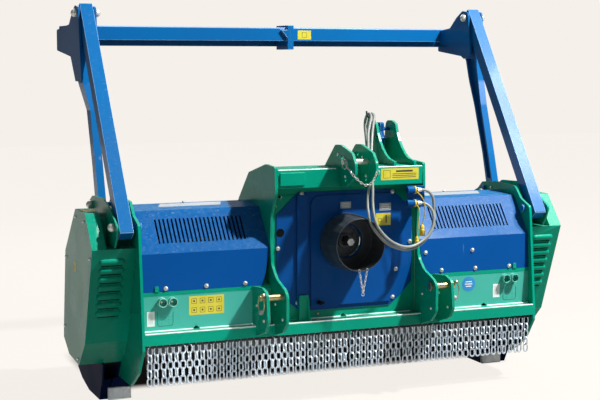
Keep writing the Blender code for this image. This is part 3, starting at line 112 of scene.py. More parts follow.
def seen_directly(tree, path):
    """1 for rays from the camera and for those that metal or glass sends on."""
    rays = path.outputs["Is Camera Ray"]
    for name in ("Is Glossy Ray", "Is Transmission Ray"):
        rays = add(tree, "ShaderNodeMath", {"operation": "MAXIMUM"},
                   {0: rays, 1: path.outputs[name]}).outputs[0]
    return rays


def spots(tree, apart, low, high, detail=3.0, stretch=(1.0, 1.0, 1.0)):
    """Mask of soft-edged spots, apart millimetres from one to the next: 0 where the noise is under
    low, 1 where it is over high."""
    place = add(tree, "ShaderNodeTexCoord")
    turned = add(tree, "ShaderNodeMapping", {},
                 {"Vector": place.outputs["Object"], "Scale": stretch})
    noise = add(tree, "ShaderNodeTexNoise", {},
                {"Vector": turned.outputs[0], "Scale": MM_PER_M / apart, "Detail": detail,
                 "Roughness": 0.6})
    cut = add(tree, "ShaderNodeMapRange", {"interpolation_type": "SMOOTHSTEP"},
              {"Value": noise.outputs[0], "From Min": low, "From Max": high})
    return cut.outputs[0]


def relief(tree, apart, detail, strength):
    """Fine bumps, apart millimetres from one to the next and 1 mm deep at strength 1."""
    place = add(tree, "ShaderNodeTexCoord")
    noise = add(tree, "ShaderNodeTexNoise", {},
                {"Vector": place.outputs["Object"], "Scale": MM_PER_M / apart, "Detail": detail})
    bump = add(tree, "ShaderNodeBump", {},
               {"Strength": strength, "Distance": 0.001, "Height": noise.outputs[0]})
    return bump.outputs[0]


def layered(tree, colour, layers):
    """Colours over one another: each layer has its mask, how much of it shows, and its colour."""
    base = hex_colour(colour)
    for mask, share, over in layers:
        part = add(tree, "ShaderNodeMath", {"operation": "MULTIPLY"}, {0: mask, 1: share})
        base = add(tree, "ShaderNodeMix", {"data_type": "RGBA"},
                   {"Factor": part.outputs[0], "A": base, "B": hex_colour(over)}).outputs["Result"]
    return base


def side_plate_shade_mask(tree):
    """Mask of the side plates' inner faces behind the chains, below the front beam, where painted
    shade goes.
    """
    inner_x = 0.9606
    place = add(tree, "ShaderNodeNewGeometry")
    split = add(tree, "ShaderNodeSeparateXYZ", {}, {0: place.outputs["Position"]})
    width = add(tree, "ShaderNodeMath", {"operation": "ABSOLUTE"}, {0: split.outputs["X"]})
    mask = add(tree, "ShaderNodeMath", {"operation": "LESS_THAN"}, {0: width.outputs[0], 1: inner_x})
    for socket, start, end in (("Z", 0.375, 0.355), ("Y", -0.47, -0.45)):
        edge = add(tree, "ShaderNodeMapRange", {},
                   {"Value": split.outputs[socket], "From Min": start, "From Max": end})
        mask = add(tree, "ShaderNodeMath", {"operation": "MULTIPLY"},
                   {0: mask.outputs[0], 1: edge.outputs[0]})
    return mask.outputs[0]


# Finishes

def enamel(name, colour, shade, dust, roughness=0.22, specular=0.08, coat=0.04, ripple=0.05,
           inside=False, sky=None):
    """Enamel sprayed on steel: glossy over a faint ripple, with thin dust on what faces up and a
    few pale handling scuffs. sky is a painted reflection of the sky: a paler tone on faces that look
    up."""
    mat, tree = empty_material(name)
    normal = add(tree, "ShaderNodeNewGeometry").outputs["Normal"]
    split = add(tree, "ShaderNodeSeparateXYZ", {}, {0: normal})
    lying = add(tree, "ShaderNodeMapRange", {"interpolation_type": "SMOOTHSTEP"},
                {"Value": split.outputs["Z"], "From Min": 0.35, "From Max": 0.95}).outputs[0]
    # broad clouds of shade, and clumps of dust 2 cm apart
    cloud = spots(tree, 454.5, 0.35, 0.70)
    clumps = spots(tree, 21.74, 0.38, 0.72, 5.0)
    # specks of dirt are under 1 mm; they are drawn at 2 to 3 mm, so that they show
    specks = spots(tree, 6.667, 0.63, 0.70, 2.0, (0.45, 1.0, 1.0))
    # scuffs a few millimetres wide and centimetres long
    scuffs = spots(tree, 33.33, 0.735, 0.80, 2.0, (1.0, 1.0, 0.14))
    settled, strewn = (add(tree, "ShaderNodeMath", {"operation": "MULTIPLY"},
                           {0: lying, 1: mask}).outputs[0] for mask in (clumps, specks))
    layers = [(cloud, 0.45, shade)]
    # painted reflection of the sky: a paler tone on faces that look up
    if sky:
        layers.append((lying, 1.0, sky))
    layers += [(settled, dust, "#a9b4ae"), (strewn, 0.30, "#c8d8e2"), (scuffs, 0.22, "#b8c4c8")]
    # painted shade: near black on the side plates' inner faces behind the chains
    if inside:
        layers.append((side_plate_shade_mask(tree), 1.0, "#0c1110"))
    rough = add(tree, "ShaderNodeMath", {"operation": "MULTIPLY_ADD"},
                {0: cloud, 1: 0.10, 2: roughness})
    # the ripple of real sprayed enamel is 2 to 5 mm from crest to crest
    shaded(tree, {"Base Color": layered(tree, colour, layers), "Roughness": rough.outputs[0],
                  "Normal": relief(tree, 3.0303, 1.0, ripple), "IOR": 1.5,
                  "Specular IOR Level": specular, "Coat Weight": coat, "Coat Roughness": 0.08})
    return mat


def metal(name, colour, shade, roughness, apart, scratches=0.0, metallic=1.0):
    """Bare, plated or primed steel or iron, its brightness and gloss clouded a little. The clouds,
    or the crystals of hot-dipped zinc, are apart millimetres from one to the next."""
    mat, tree = empty_material(name)
    cloud = spots(tree, apart, 0.32, 0.68, 4.0)
    layers = [(cloud, 1.0, shade)]
    if scratches:
        # scratches are tenths of a millimetre wide; they are drawn at 2 mm, so that they show
        lines = spots(tree, 11.11, 0.55, 0.75, 3.0, (0.06, 1.0, 1.0))
        layers.append((lines, scratches, "#e4e6e6"))
    rough = add(tree, "ShaderNodeMath", {"operation": "MULTIPLY_ADD"},
                {0: cloud, 1: 0.16, 2: roughness})
    shaded(tree, {"Base Color": layered(tree, colour, layers), "Roughness": rough.outputs[0],
                  "Metallic": metallic})
    return mat


def moulded(name, colour, shade, roughness, apart=2.381, depth=0.12, specular=0.5):
    """Moulded plastic, rubber or film with a fine grain. Its real grain is tenths of a millimetre;
    it is drawn 1.4 to 5 mm apart, so that it shows."""
    mat, tree = empty_material(name)
    cloud = spots(tree, 83.33, 0.35, 0.70)
    rough = add(tree, "ShaderNodeMath", {"operation": "MULTIPLY_ADD"},
                {0: cloud, 1: 0.12, 2: roughness})
    shaded(tree, {"Base Color": layered(tree, colour, [(cloud, 1.0, shade)]),
                  "Roughness": rough.outputs[0], "Normal": relief(tree, apart, 2.0, depth),
                  "Specular IOR Level": specular})
    return mat


# Enamel, sprayed: a wet, even gloss whose highlights are a little broken by the ripple.
GREEN = enamel("green_enamel", "#009c80", "#008c72", 0.15)
# The same on the side plates, with painted shade making their inner faces near black behind the
# chains.
HOUSING = enamel("green_enamel_housing", "#009c80", "#008c72", 0.15, inside=True)
# Enamel of the front panels: a paler, milkier green than the rest.
PANEL = enamel("green_enamel_pale_panels", "#4ab2a3", "#40a698", 0.12)
# Enamel of the hoods and the gearbox cover, dull from dust, with a painted sky reflection where it
# looks up.
BLUE = enamel("blue_enamel", "#0a4f99", "#084788", 0.12, 0.30, 0.02, 0.07, sky="#10629a")
# A thicker, glossier coat on the push frame: its ripple breaks every highlight into grains.
FRAME_BLUE = enamel("blue_enamel_push_frame", "#0765a6", "#065a98", 0.05, 0.28, 0.10, 0.20,
                    ripple=0.22)
# Enamel of the skids, sprayed thin and scoured by soil: dark, without clear reflections.
NAVY = enamel("dark_blue_enamel", "#0b1a3e", "#091433", 0.05, 0.5, 0.02, 0.0)
# Pale green and pale blue for rounded edges: painted highlights, the palest one a painted glint.
GREEN_EDGE_HIGHLIGHT = enamel("green_enamel_painted_glint_edges", "#b4ecdb", "#86d8c0", 0.1)
GREEN_GLINT = enamel("green_enamel_painted_bright_glint_edges", "#f4fffb", "#d8f7ec", 0.1)
BLUE_EDGE_HIGHLIGHT = enamel("blue_enamel_painted_glint_edges", "#9ac6ee", "#5c9cdc", 0.1)
# Dark, matt green on a thin ridge and small discs: painted shade of a groove and its dimples.
GROOVE_SHADE = moulded("painted_groove_shade", "#0a5c48", "#08503e", 0.5, 5.0, 0.02)

# Steel, turned: bright, with the soft-edged reflections of fine tool marks.
STEEL = metal("turned_steel", "#a9adb0", "#8b9094", 0.26, 16.67)
# Zinc plate, clear: pale silver, slightly milky from its salts.
ZINC = metal("zinc_plated_steel", "#e9e9e3", "#c4c7c2", 0.30, 7.143, metallic=0.55)
# Zinc plate, yellow: a straw tint that fades to grey in patches.
PIN_ZINC = metal("yellow_zinc_pins", "#c9b98a", "#9c9270", 0.28, 8.333)
# Zinc, hot dipped: pale blue-grey, bright and dull crystals side by side.
CHAIN = metal("galvanised_chain", "#e9f3fd", "#afbfce", 0.30, 6.25, metallic=0.5)
# Steel bar, hot rolled: dark as painted shade under the front beam, with a weak sheen.
SHADED_BAR = metal("rolled_bar_painted_shade", "#4a4f52", "#34383b", 0.6, 25.0, metallic=0.5)
# Steel plate in grey primer: flat and dusty, with hardly a highlight.
SEAL = metal("grey_primed_seal_plate", "#565d66", "#474d55", 0.45, 16.67, metallic=0.3)
# Iron, sand cast and primed: dark and dull over its sandy skin, darkened further as painted shade
# inside the shaft guard.
CAST = metal("primed_cast_iron", "#3a3f42", "#2b2f32", 0.55, 25.0, metallic=0.4)
# Wear steel, rubbed by the ground: pale and matt, with long streaks.
WEAR = metal("scuffed_wear_steel", "#fbfcfc", "#dfe3e4", 0.5, 33.33, scratches=0.5,
             metallic=0.0)
# Tool steel, forged: dark scale between places worn half bright, darkened further as painted shade
# inside the housing.
TOOTH = metal("forged_tool_steel", "#45484b", "#2f3235", 0.48, 20.0, metallic=0.7)

# Polypropylene, moulded: a soft, even sheen.
BLACK = moulded("black_polypropylene", "#363c41", "#41484e", 0.28, depth=0.06)
# Rubber, moulded: it swallows the light, so that only its outline shows.
CAP_BLACK = moulded("black_rubber_caps", "#08090a", "#0d0e10", 0.6, specular=0.08)
# Belt rubber faced with fabric: dull black, without highlights.
BELT = moulded("fabric_faced_belt_rubber", "#1b1b1c", "#26262a", 0.7)
# Hose rubber, cured in a fabric wrap: grey, with a soft line of light and the wrap's print.
HOSE = moulded("wrapped_hose_rubber", "#969b98", "#858b88", 0.36, 1.4286, 0.2)
# PVC, dip moulded: smooth, with blurred highlights.
CAP_YELLOW = moulded("yellow_pvc_caps", "#e3c928", "#cbb01e", 0.45)
# PVC film, cast and printed: flat, clean colour under an even satin sheen.
VINYL_YELLOW = moulded("yellow_vinyl", "#d8cd3f", "#cabf38", 0.35, 5.0, 0.02)
VINYL_WHITE = moulded("white_vinyl", "#f4f6f5", "#e6eaea", 0.35, 5.0, 0.02)
VINYL_GREY = moulded("grey_vinyl", "#a9b0b5", "#989fa5", 0.35, 5.0, 0.02)
VINYL_BLUE = moulded("blue_vinyl", "#2f8fd0", "#2884c4", 0.3, 5.0, 0.02)
VINYL_INK = moulded("printed_black_ink", "#3a3b36", "#30312c", 0.4, 5.0, 0.02)

SLOT_MATERIALS = {
    "green_enamel": GREEN, "blue_enamel": BLUE, "dark_blue_enamel": NAVY, "black_plastic": BLACK,
    "machined_steel": STEEL, "zinc_plate": PIN_ZINC, "galvanised_chain": CHAIN, "cast_iron": CAST,
    "belt_rubber": BELT, "grey_hose_cover": HOSE, "bare_wear_steel": WEAR}
NODE_MATERIALS = {
    "rotor": TOOTH, "gearbox_cover": BLUE, "coupler_holder": BLUE, "top_link_pin": ZINC,
    "side_plate_left": HOUSING, "side_plate_right": HOUSING, "front_panel_left": PANEL,
    "front_panel_right": PANEL, "brace_left": FRAME_BLUE, "brace_right": FRAME_BLUE,
    "strut_left": FRAME_BLUE, "strut_right": FRAME_BLUE, "push_bar_left": FRAME_BLUE,
    "push_bar_right": FRAME_BLUE}
# the painted highlight colour that each enamel gets on its rounded edges
EDGE_HIGHLIGHTS = {GREEN: GREEN_EDGE_HIGHLIGHT, HOUSING: GREEN_EDGE_HIGHLIGHT, PANEL: GREEN_EDGE_HIGHLIGHT, BLUE: BLUE_EDGE_HIGHLIGHT,
        FRAME_BLUE: BLUE_EDGE_HIGHLIGHT}

# beginnings of the names of nodes that keep their sharp edges, and of those folded from sheet
SHARP_NODES = ("rotor", "drive_belt", "cross_shaft", "hose", "chain")
SHEET_NODES = ("hood", "belt_cover", "front_panel")
SHEET_EDGE = 0.0015
PLATE_EDGE = 0.0026
# width and segments of the two edges that show most
WIDE_EDGES = {"front_beam": (0.0035, 3), "gearbox_cover": (0.0055, 3)}


def dress_nodes():
    """New materials on the solids, and rounded edges that catch the light and carry painted
    highlights.
    """
    slots = {part["node"]: part["material_slot"] for part in frame["record"]["subparts"]}
    for name, obj in frame["nodes"].items():
        mat = NODE_MATERIALS.get(name, SLOT_MATERIALS[slots[name]])
        obj.data.materials.clear()
        obj.data.materials.append(mat)
        if name.startswith(SHARP_NODES):
            continue
        weld = obj.modifiers.new("weld", "WELD")
        weld.merge_threshold = 1e-5
        if name == "front_beam":
            # thin triangles in its flat faces would spoil the rounded edges
            flat = obj.modifiers.new("flat", "DECIMATE")
            flat.decimate_type = "DISSOLVE"
            flat.angle_limit = math.radians(0.3)
        plain = (SHEET_EDGE if name.startswith(SHEET_NODES) else PLATE_EDGE, 2)
        edge = obj.modifiers.new("edge", "BEVEL")
        edge.width, edge.segments = WIDE_EDGES.get(name, plain)
        # the top beam's painted edge glint is a piece of its own
        if mat in EDGE_HIGHLIGHTS and name != "top_beam":
            obj.data.materials.append(GREEN_GLINT if name == "front_beam" else EDGE_HIGHLIGHTS[mat])
            edge.material = 1
        edge.limit_method = "ANGLE"
        edge.angle_limit = math.radians(40)
        edge.harden_normals = True


# Shapes

def piece(name, bm, mat, body=MACHINE, smooth=40):
    """A new mesh that rides on a body; edges sharper than smooth degrees stay sharp."""
    mesh = bpy.data.meshes.new(name)
    bm.to_mesh(mesh)
    bm.free()
    mesh.materials.append(mat)
    obj = bpy.data.objects.new(name, mesh)
    bpy.context.scene.collection.objects.link(obj)
    mesh.shade_smooth()
    mesh.set_sharp_from_angle(angle=math.radians(smooth))
    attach(obj, body)
    return obj


def aimed(place, direction, spin=0.0):
    """A frame whose +Z points along direction, from place."""
    turn = Vector(direction).to_track_quat("Z", "Y").to_matrix().to_4x4()
    return Matrix.Translation(place) @ turn @ Matrix.Rotation(spin, 4, "Z")


def facing(place, right=RIGHT, up=UP):
    """A frame that lies on a face: x to its right, y up along it, z out of it."""
    right = Vector(right).normalized()
    up = Vector(up).normalized()
    turn = Matrix((right, up, right.cross(up))).transposed().to_4x4()
    return Matrix.Translation(place) @ turn


def round_outline(radius, sides):
    step = math.tau / sides
    return [(radius * math.cos(step * k), radius * math.sin(step * k)) for k in range(sides)]


def oblong(width, height, x=0.0, y=0.0, slant=0.0):
    w, h = width / 2, height / 2
    return [(x - w - slant, y - h), (x + w - slant, y - h), (x + w + slant, y + h),
            (x - w + slant, y + h)]


def skin(bm, rings, closed=False):
    """Faces from each ring of corners to the next; the ends are capped, or joined if closed."""
    pairs = list(zip(rings, rings[1:])) + ([(rings[-1], rings[0])] if closed else [])
    for low, high in pairs:
        for k in range(len(low)):
            n = (k + 1) % len(low)
            bm.faces.new((low[k], low[n], high[n], high[k]))
    if not closed:
        bm.faces.new(rings[-1])
        bm.faces.new(rings[0][::-1])


def prism(bm, base, outline, height, chamfer=0.0):
    """A block that rises along the base's Z from a flat outline, its top edge chamfered."""
    levels = [(1.0, 0.0), (1.0, height - chamfer)]
    if chamfer:
        size = max(Vector(p).length for p in outline)
        levels.append((1.0 - chamfer / size, height))
    skin(bm, [[bm.verts.new(base @ Vector((x * share, y * share, z))) for x, y in outline]
              for share, z in levels])


def lathe(bm, base, profile, sides=16):
    """A turned shape about the base's Z, from (radius, z) points; radius 0 closes it."""
    rows = []
    for radius, z in profile:
        ring = round_outline(radius, sides) if radius else [(0.0, 0.0)]
        rows.append([bm.verts.new(base @ Vector((x, y, z))) for x, y in ring])
    for low, high in zip(rows, rows[1:]):
        for k in range(sides):
            n = (k + 1) % sides
            corners = (low[k % len(low)], low[n % len(low)], high[n % len(high)], high[k % len(high)])
            bm.faces.new(list(dict.fromkeys(corners)))


def sweep(bm, route, radius, sides=8, closed=False, up=UP):
    """A round wire along a route."""
    route = [Vector(p) for p in route]
    count = len(route)
    rings = []
    side = None
    for i, here in enumerate(route):
        if closed:
            along = route[(i + 1) % count] - route[i - 1]
        else:
            along = route[min(i + 1, count - 1)] - route[max(i - 1, 0)]
        along.normalize()
        if side is None:
            side = along.cross(Vector(up))
            if side.length < 1e-3:
                side = along.cross(Vector(RIGHT))
        side = (side - along * side.dot(along)).normalized()
        other = along.cross(side)
        rings.append([bm.verts.new(here + side * x + other * y)
                      for x, y in round_outline(radius, sides)])
    skin(bm, rings, closed)


def link(bm, centre, along, face, length, width, wire, sides=6, arc=4):
    """One welded chain link, an oval seen from face; wire is its wire's radius."""
    along = Vector(along).normalized()
    face = Vector(face).normalized()
    across = face.cross(along).normalized()
    end = (length - width) / 2
    radius = width / 2 - wire
    route = []
    for sign in (1, -1):
        for k in range(arc + 1):
            angle = math.pi * k / arc
            route.append(Vector(centre) + along * sign * (end + radius * math.sin(angle))
                         + across * sign * radius * math.cos(angle))
    sweep(bm, route, wire, sides, True, face)


def chain_line(bm, points, pitch, length, width, wire):
    """Links one after another along a route, every second one turned by a quarter."""
    points = [Vector(p) for p in points]
    gone = 0.0
    middles = []
    for start, end in zip(points, points[1:]):
        span = (end - start).length
        while gone < span:
            middles.append((start.lerp(end, gone / span), (end - start).normalized()))
            gone += pitch
        gone -= span
    for k, (centre, along) in enumerate(middles):
        face = along.cross(Vector(UP))
        if face.length < 0.2:
            face = along.cross(Vector(RIGHT))
        if k % 2:
            face = face.cross(along)
        link(bm, centre, along, face, length, width, wire, 5, 3)


def ring_wire(bm, centre, radius, wire, normal):
    base = aimed(centre, normal)
    route = [base @ Vector((x, y, 0.0)) for x, y in round_outline(radius, 20)]
    sweep(bm, route, wire, 6, True, normal)


# Chain curtains

BAR_Y, BAR_Z = 0.020, 0.309     # the bars that carry the curtains
BAR_RADIUS = 0.0052
STRANDS = 32                    # to each half
STRAND_FIRST = 0.0165           # from the machine's middle
STRAND_STEP = 0.0296
LINKS = 5                       # to each strand
LINK_FIRST = 0.0165             # from the bar down to the first link's middle
LINK_STEP = 0.0335
LINK_SIZE = (0.0452, 0.0286, 0.0037)    # length, width and the wire's radius
NEARLY_FLAT, ACROSS = 0.05, -1.22       # turns of the odd and the even links, in radians


def chain_curtains():
    """Short-link chain of 7.4 mm wire: the first, third and fifth link of a strand lie nearly flat
    to the front, the others stand across. The strands turn slowly from one to the next."""
    for side, word in SIDES:
        bm = bmesh.new()
        for k in range(STRANDS):
            x = side * (STRAND_FIRST + STRAND_STEP * k)
            twist = 0.26 * math.sin(0.47 * k + side) + random.uniform(-0.12, 0.12)
            lean = random.uniform(-0.0012, 0.0012)
            for n in range(LINKS):
                turn = (ACROSS if n % 2 else NEARLY_FLAT) + twist + random.uniform(-0.08, 0.08)
                face = (math.sin(turn), -math.cos(turn), 0.0)
                y = BAR_Y + random.uniform(-0.0006, 0.0006)
                centre = at(x + lean * n, y, BAR_Z - LINK_FIRST - LINK_STEP * n)
                link(bm, centre, UP, face, *LINK_SIZE)
        curtain = piece(f"chain_strands_{word}", bm, CHAIN, f"curtain_{word}", 60)
        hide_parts(f"chain_curtain_{word}")
        bm = bmesh.new()
        sweep(bm, [at(side * x, BAR_Y, BAR_Z) for x in (0.002, 0.965)], BAR_RADIUS, 12)
        bar = piece(f"chain_bar_{word}", bm, SHADED_BAR, f"curtain_{word}")
        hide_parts(f"chain_curtain_{word}")


# Hoses, from the block on the top beam over the mast's hook to the parked couplers

HOSE_A = [
    (0.196, 0.200, 1.0303), (0.196, 0.200, 1.060), (0.196, 0.2015, 1.080), (0.1965, 0.208, 1.110),
    (0.197, 0.2200, 1.150), (0.1978, 0.2347, 1.195), (0.1983, 0.2417, 1.2142),
    (0.1985, 0.245, 1.233), (0.1983, 0.2408, 1.254), (0.1975, 0.2289, 1.2719),
    (0.196, 0.211, 1.2838), (0.193, 0.190, 1.2880), (0.189, 0.169, 1.2838),
    (0.184, 0.1511, 1.2719), (0.163, 0.118, 1.238), (0.140, 0.080, 1.192), (0.100, 0.006, 1.095),
    (0.077, -0.032, 1.045), (0.064, -0.052, 0.979), (0.045, -0.078, 0.912),
    (0.036, -0.106, 0.862), (0.041, -0.126, 0.813), (0.072, -0.133, 0.765),
    (0.120, -0.128, 0.723), (0.174, -0.113, 0.699), (0.226, -0.095, 0.687),
    (0.279, -0.082, 0.691), (0.331, -0.070, 0.715), (0.374, -0.060, 0.758),
    (0.393, -0.052, 0.805), (0.3945, -0.047, 0.850), (0.3930, -0.044, 0.8940),
    (0.3889, -0.042, 0.9147), (0.3772, -0.040, 0.9322), (0.3597, -0.0375, 0.9439),
    (0.339, -0.036, 0.948), (0.3108, -0.036, 0.948)]
HOSE_B = [
    (0.176, 0.200, 1.0303), (0.176, 0.200, 1.060), (0.176, 0.2015, 1.080), (0.1765, 0.208, 1.110),
    (0.178, 0.2200, 1.150), (0.180, 0.2347, 1.195), (0.1807, 0.2417, 1.2142),
    (0.181, 0.245, 1.233), (0.181, 0.2408, 1.254), (0.1805, 0.2289, 1.2719),
    (0.1795, 0.211, 1.2838), (0.177, 0.190, 1.2880), (0.173, 0.169, 1.2838),
    (0.168, 0.1511, 1.2719), (0.145, 0.118, 1.238), (0.120, 0.080, 1.192), (0.081, -0.010, 1.100),
    (0.072, -0.051, 1.045), (0.071, -0.073, 0.979), (0.061, -0.096, 0.912),
    (0.053, -0.124, 0.862), (0.058, -0.143, 0.815), (0.087, -0.147, 0.772),
    (0.128, -0.142, 0.737), (0.175, -0.128, 0.714), (0.225, -0.112, 0.701),
    (0.270, -0.099, 0.704), (0.310, -0.089, 0.719), (0.348, -0.081, 0.745),
    (0.373, -0.074, 0.779), (0.383, -0.068, 0.814), (0.3838, -0.062, 0.835),
    (0.3800, -0.055, 0.8553), (0.3685, -0.047, 0.8725), (0.3513, -0.040, 0.8840),
    (0.331, -0.036, 0.888), (0.3108, -0.036, 0.888)]
HOSE_THICKNESS = 0.013
HOSE_POINT_STEP = 0.012


def smooth_route(points, spacing):
    """Places at an even spacing on one smooth curve through the points, and its length."""
    steps = 24
    places = [Vector(p) for p in points]
    ends = [places[0] * 2 - places[1], *places, places[-1] * 2 - places[-2]]
    dense = []
    for a, b, c, d in zip(ends, ends[1:], ends[2:], ends[3:]):
        for k in range(steps):
            t = k / steps
            dense.append(0.5 * (b * 2 + (c - a) * t + (a * 2 - b * 5 + c * 4 - d) * t * t
                                + (b * 3 - a - c * 3 + d) * t * t * t))
    dense.append(places[-1])
    lengths = [0.0]
    for start, end in zip(dense, dense[1:]):
        lengths.append(lengths[-1] + (end - start).length)
    count = max(2, round(lengths[-1] / spacing))
    route = []
    here = 0
    for k in range(count + 1):
        wanted = lengths[-1] * k / count
        while here + 2 < len(lengths) and lengths[here + 1] < wanted:
            here += 1
        share = (wanted - lengths[here]) / (lengths[here + 1] - lengths[here])
        route.append(dense[here].lerp(dense[here + 1], min(share, 1.0)))
    return route, lengths[-1]


def ferrule(name, place, direction):
    """Crimped steel sleeve with a hexagon, where a hose meets its coupling."""
    bm = bmesh.new()
    base = aimed(place, direction)
    lathe(bm, base, [(0.0069, -0.001), (0.0108, 0.0), (0.0108, 0.003), (0.0092, 0.004),
                     (0.0092, 0.009), (0.0097, 0.010), (0.0097, 0.020), (0.0090, 0.022),
                     (0.0069, 0.0225)])
    prism(bm, base @ Matrix.Translation((0.0, 0.0, 0.0002)), round_outline(0.0115, 6), 0.008)
    return piece(name, bm, ZINC)


def hoses():
    """Two hydraulic hoses, each a curve with a ferrule at both ends."""
    for word, places in (("a", HOSE_A), ("b", HOSE_B)):
        points = [at(*p) for p in places]
        middle, length = smooth_route(points[1:-1], HOSE_POINT_STEP)
        route = [points[0], *middle, points[-1]]
        length += (points[1] - points[0]).length + (points[-1] - points[-2]).length
        curve = bpy.data.curves.new(f"hydraulic_hose_{word}", "CURVE")
        curve.dimensions = "3D"
        curve.bevel_depth = HOSE_THICKNESS / 2
        curve.bevel_resolution = 4
        curve.use_fill_caps = True
        spline = curve.splines.new("POLY")
        spline.points.add(len(route) - 1)
        for point, place in zip(spline.points, route):
            point.co = (*place, 1.0)
        spline.use_smooth = True
        curve.materials.append(HOSE)
        hose = bpy.data.objects.new(f"hydraulic_hose_{word}", curve)
        bpy.context.scene.collection.objects.link(hose)
        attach(hose, MACHINE)
        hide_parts(f"hose_{word}")
        low = ferrule(f"hose_ferrule_block_{word}", points[0], UP)
        high = ferrule(f"hose_ferrule_park_{word}", points[-1], RIGHT)


# Bolts, nuts and caps

def hex_bolt(bm, place, direction, across, washer=True):
    """Hexagon head, its corners turned at random. across is from flat to flat, and a corner is
    0.577 of it from the middle."""
    base = aimed(place, direction, random.uniform(0.0, math.pi / 3))
    rise = 0.0
    if washer:
        rise = 0.0018
        prism(bm, base, round_outline(across * 0.62, 14), rise)
    lifted = base @ Matrix.Translation((0.0, 0.0, rise - 0.0002))
    prism(bm, lifted, round_outline(across * 0.577, 6), across * 0.40, across * 0.07)


def dome_bolt(bm, place, direction, radius):
    lathe(bm, aimed(place, direction),
          [(radius, -0.001), (radius, 0.0015), (radius * 0.82, 0.0042), (radius * 0.45, 0.0058),
           (0.0, 0.0063)], 12)


def button_bolt(bm, place, direction):
    """Button head of 17 mm with a socket, on a washer."""
    r = 0.0083
    lathe(bm, aimed(place, direction),
          [(r * 1.2, -0.0005), (r * 1.2, 0.0012), (r, 0.0014), (r * 0.96, 0.0040),
           (r * 0.70, 0.0070), (r * 0.40, 0.0078), (r * 0.34, 0.0040), (0.0, 0.0040)], 14)


def pin_cap(bm, place, direction):
    """Zinc-plated cap, nearly a ball, over the end of a push frame pin."""
    lathe(bm, aimed(place, direction),
          [(0.0179, 0.0), (0.0189, 0.0035), (0.0192, 0.0070), (0.0189, 0.0105), (0.0179, 0.0140),
           (0.0158, 0.0179), (0.0125, 0.0216), (0.0085, 0.0242), (0.0045, 0.0257),
           (0.0, 0.0262)], 24)


def fixings(name, make, places, direction, **sizes):
    """The same fixing at several places, all turned one way."""
    bm = bmesh.new()
    for place in places:
        make(bm, at(*place), direction, **sizes)
    return piece(name, bm, ZINC)


def cover_bolts():
    """Fixings of the hoods, the panels, the gearbox cover and the belt covers."""
    hood = [(side * x, 0.0475, 0.557) for side in (-1, 1) for x in (0.488, 0.668, 0.852)]
    hood += [(0.406, 0.0532, 0.644), (0.654, 0.0532, 0.643)]
    fixings("hood_bolts", button_bolt, hood, FRONT)
    top = [(x, 0.350, 0.8928) for x in (-0.674, -0.404, 0.660, 0.867)]
    fixings("hood_top_bolts", hex_bolt, top, UP, across=0.013)
    cover = [(x, COVER_Y, z) for x, z in
             ((-0.235, 0.449), (0.240, 0.446), (-0.214, 0.9405), (0.236, 0.9345), (0.256, 0.575),
              (0.326, 0.701), (-0.329, 0.701))]
    fixings("cover_bolts", button_bolt, cover, FRONT)
    small = [(-0.186, 0.0655, 0.393), (-0.133, 0.0655, 0.393)]
    fixings("frame_screws", dome_bolt, small, FRONT, radius=0.005)
    ports = [(side * x, PANEL_Y, 0.499) for side in (-1, 1) for x in (0.826, 0.872)]
    fixings("port_plugs", hex_bolt, ports, FRONT, across=0.009, washer=False)
    rim = ((0.235, 0.840), (0.390, 0.845), (0.590, 0.640), (0.640, 0.310), (0.385, 0.205),
           (0.135, 0.690))
    for side, word in SIDES:
        places = [(side * BELT_COVER_X, y, z) for y, z in rim]
        fixings(f"belt_cover_bolts_{word}", dome_bolt, places, (side, 0.0, 0.0), radius=0.007)


def plate_bolts():
    """Dome heads on the hitch plates, both faces, on the push frame's feet and on the top-link
    bracket, and the caps of the push frame's pins."""
    small = 0.0065
    for side, word in SIDES:
        outward, inward = (side, 0.0, 0.0), (-side, 0.0, 0.0)
        for x, way in ((0.4554, outward), (0.4434, inward), (0.369, outward), (0.357, inward)):
            places = [(side * x, -0.013, 0.4645), (side * x, -0.098, 0.411)]
            fixings(f"hitch_bolts_{word}_{round(x * 1e4)}", dome_bolt, places, way, radius=small)
        caps = [(side * x, *place)
                for x, place in ((1.0645, BRACE_TOP), (1.0665, BRACE_LOW), (1.0665, STRUT_LOW))]
        fixings(f"pin_caps_{word}", pin_cap, caps, outward)
        fixings(f"pin_cap_inner_{word}", pin_cap, [(side * 0.9775, *BRACE_TOP)], inward)
        feet = [(side * 0.960, 0.409, 0.899), (side * 0.960, 0.411, 0.872)]
        fixings(f"foot_bolts_{word}", dome_bolt, feet, inward, radius=0.0075)
    near = [(-0.056, 0.020, 1.119), (-0.056, -0.045, 1.106), (-0.056, -0.062, 1.023)]
    fixings("top_bracket_bolts_left", dome_bolt, near, LEFT, radius=small)
    far = [(0.044, -0.025, 1.103), (0.044, -0.062, 1.023)]
    fixings("top_bracket_bolts_right", dome_bolt, far, LEFT, radius=small)


def mast_fittings():
    """Dome nuts on both ends of the latch's pin."""
    fixings("mast_pin_nuts", dome_bolt, [(0.204, 0.262, 1.213)], LEFT, radius=0.0085)
    fixings("mast_pin_nut_right", dome_bolt, [(0.336, 0.262, 1.213)], RIGHT, radius=0.0085)


# Labels: vinyl with plain marks

FILM = 0.0005       # thickness of the film, and with the print on it
PRINTED = 0.0007
BOX_LINE = 0.0016


def label(name, base, width, height, mat, marks=(), ink=VINYL_INK):
    """Vinyl on a face; marks are bars, each with its middle, width and height."""
    bm = bmesh.new()
    prism(bm, base, oblong(width, height), FILM)
    piece(name, bm, mat)
    if marks:
        bm = bmesh.new()
        for x, y, w, h in marks:
            prism(bm, base, oblong(w, h, x, y), PRINTED)
        piece(name + "_print", bm, ink)


def boxed(x, y, width, height):
    """The four bars of an empty box."""
    w, h = width / 2, height / 2
    return [(x, y + h, width, BOX_LINE), (x, y - h, width, BOX_LINE), (x - w, y, BOX_LINE, height),
            (x + w, y, BOX_LINE, height)]


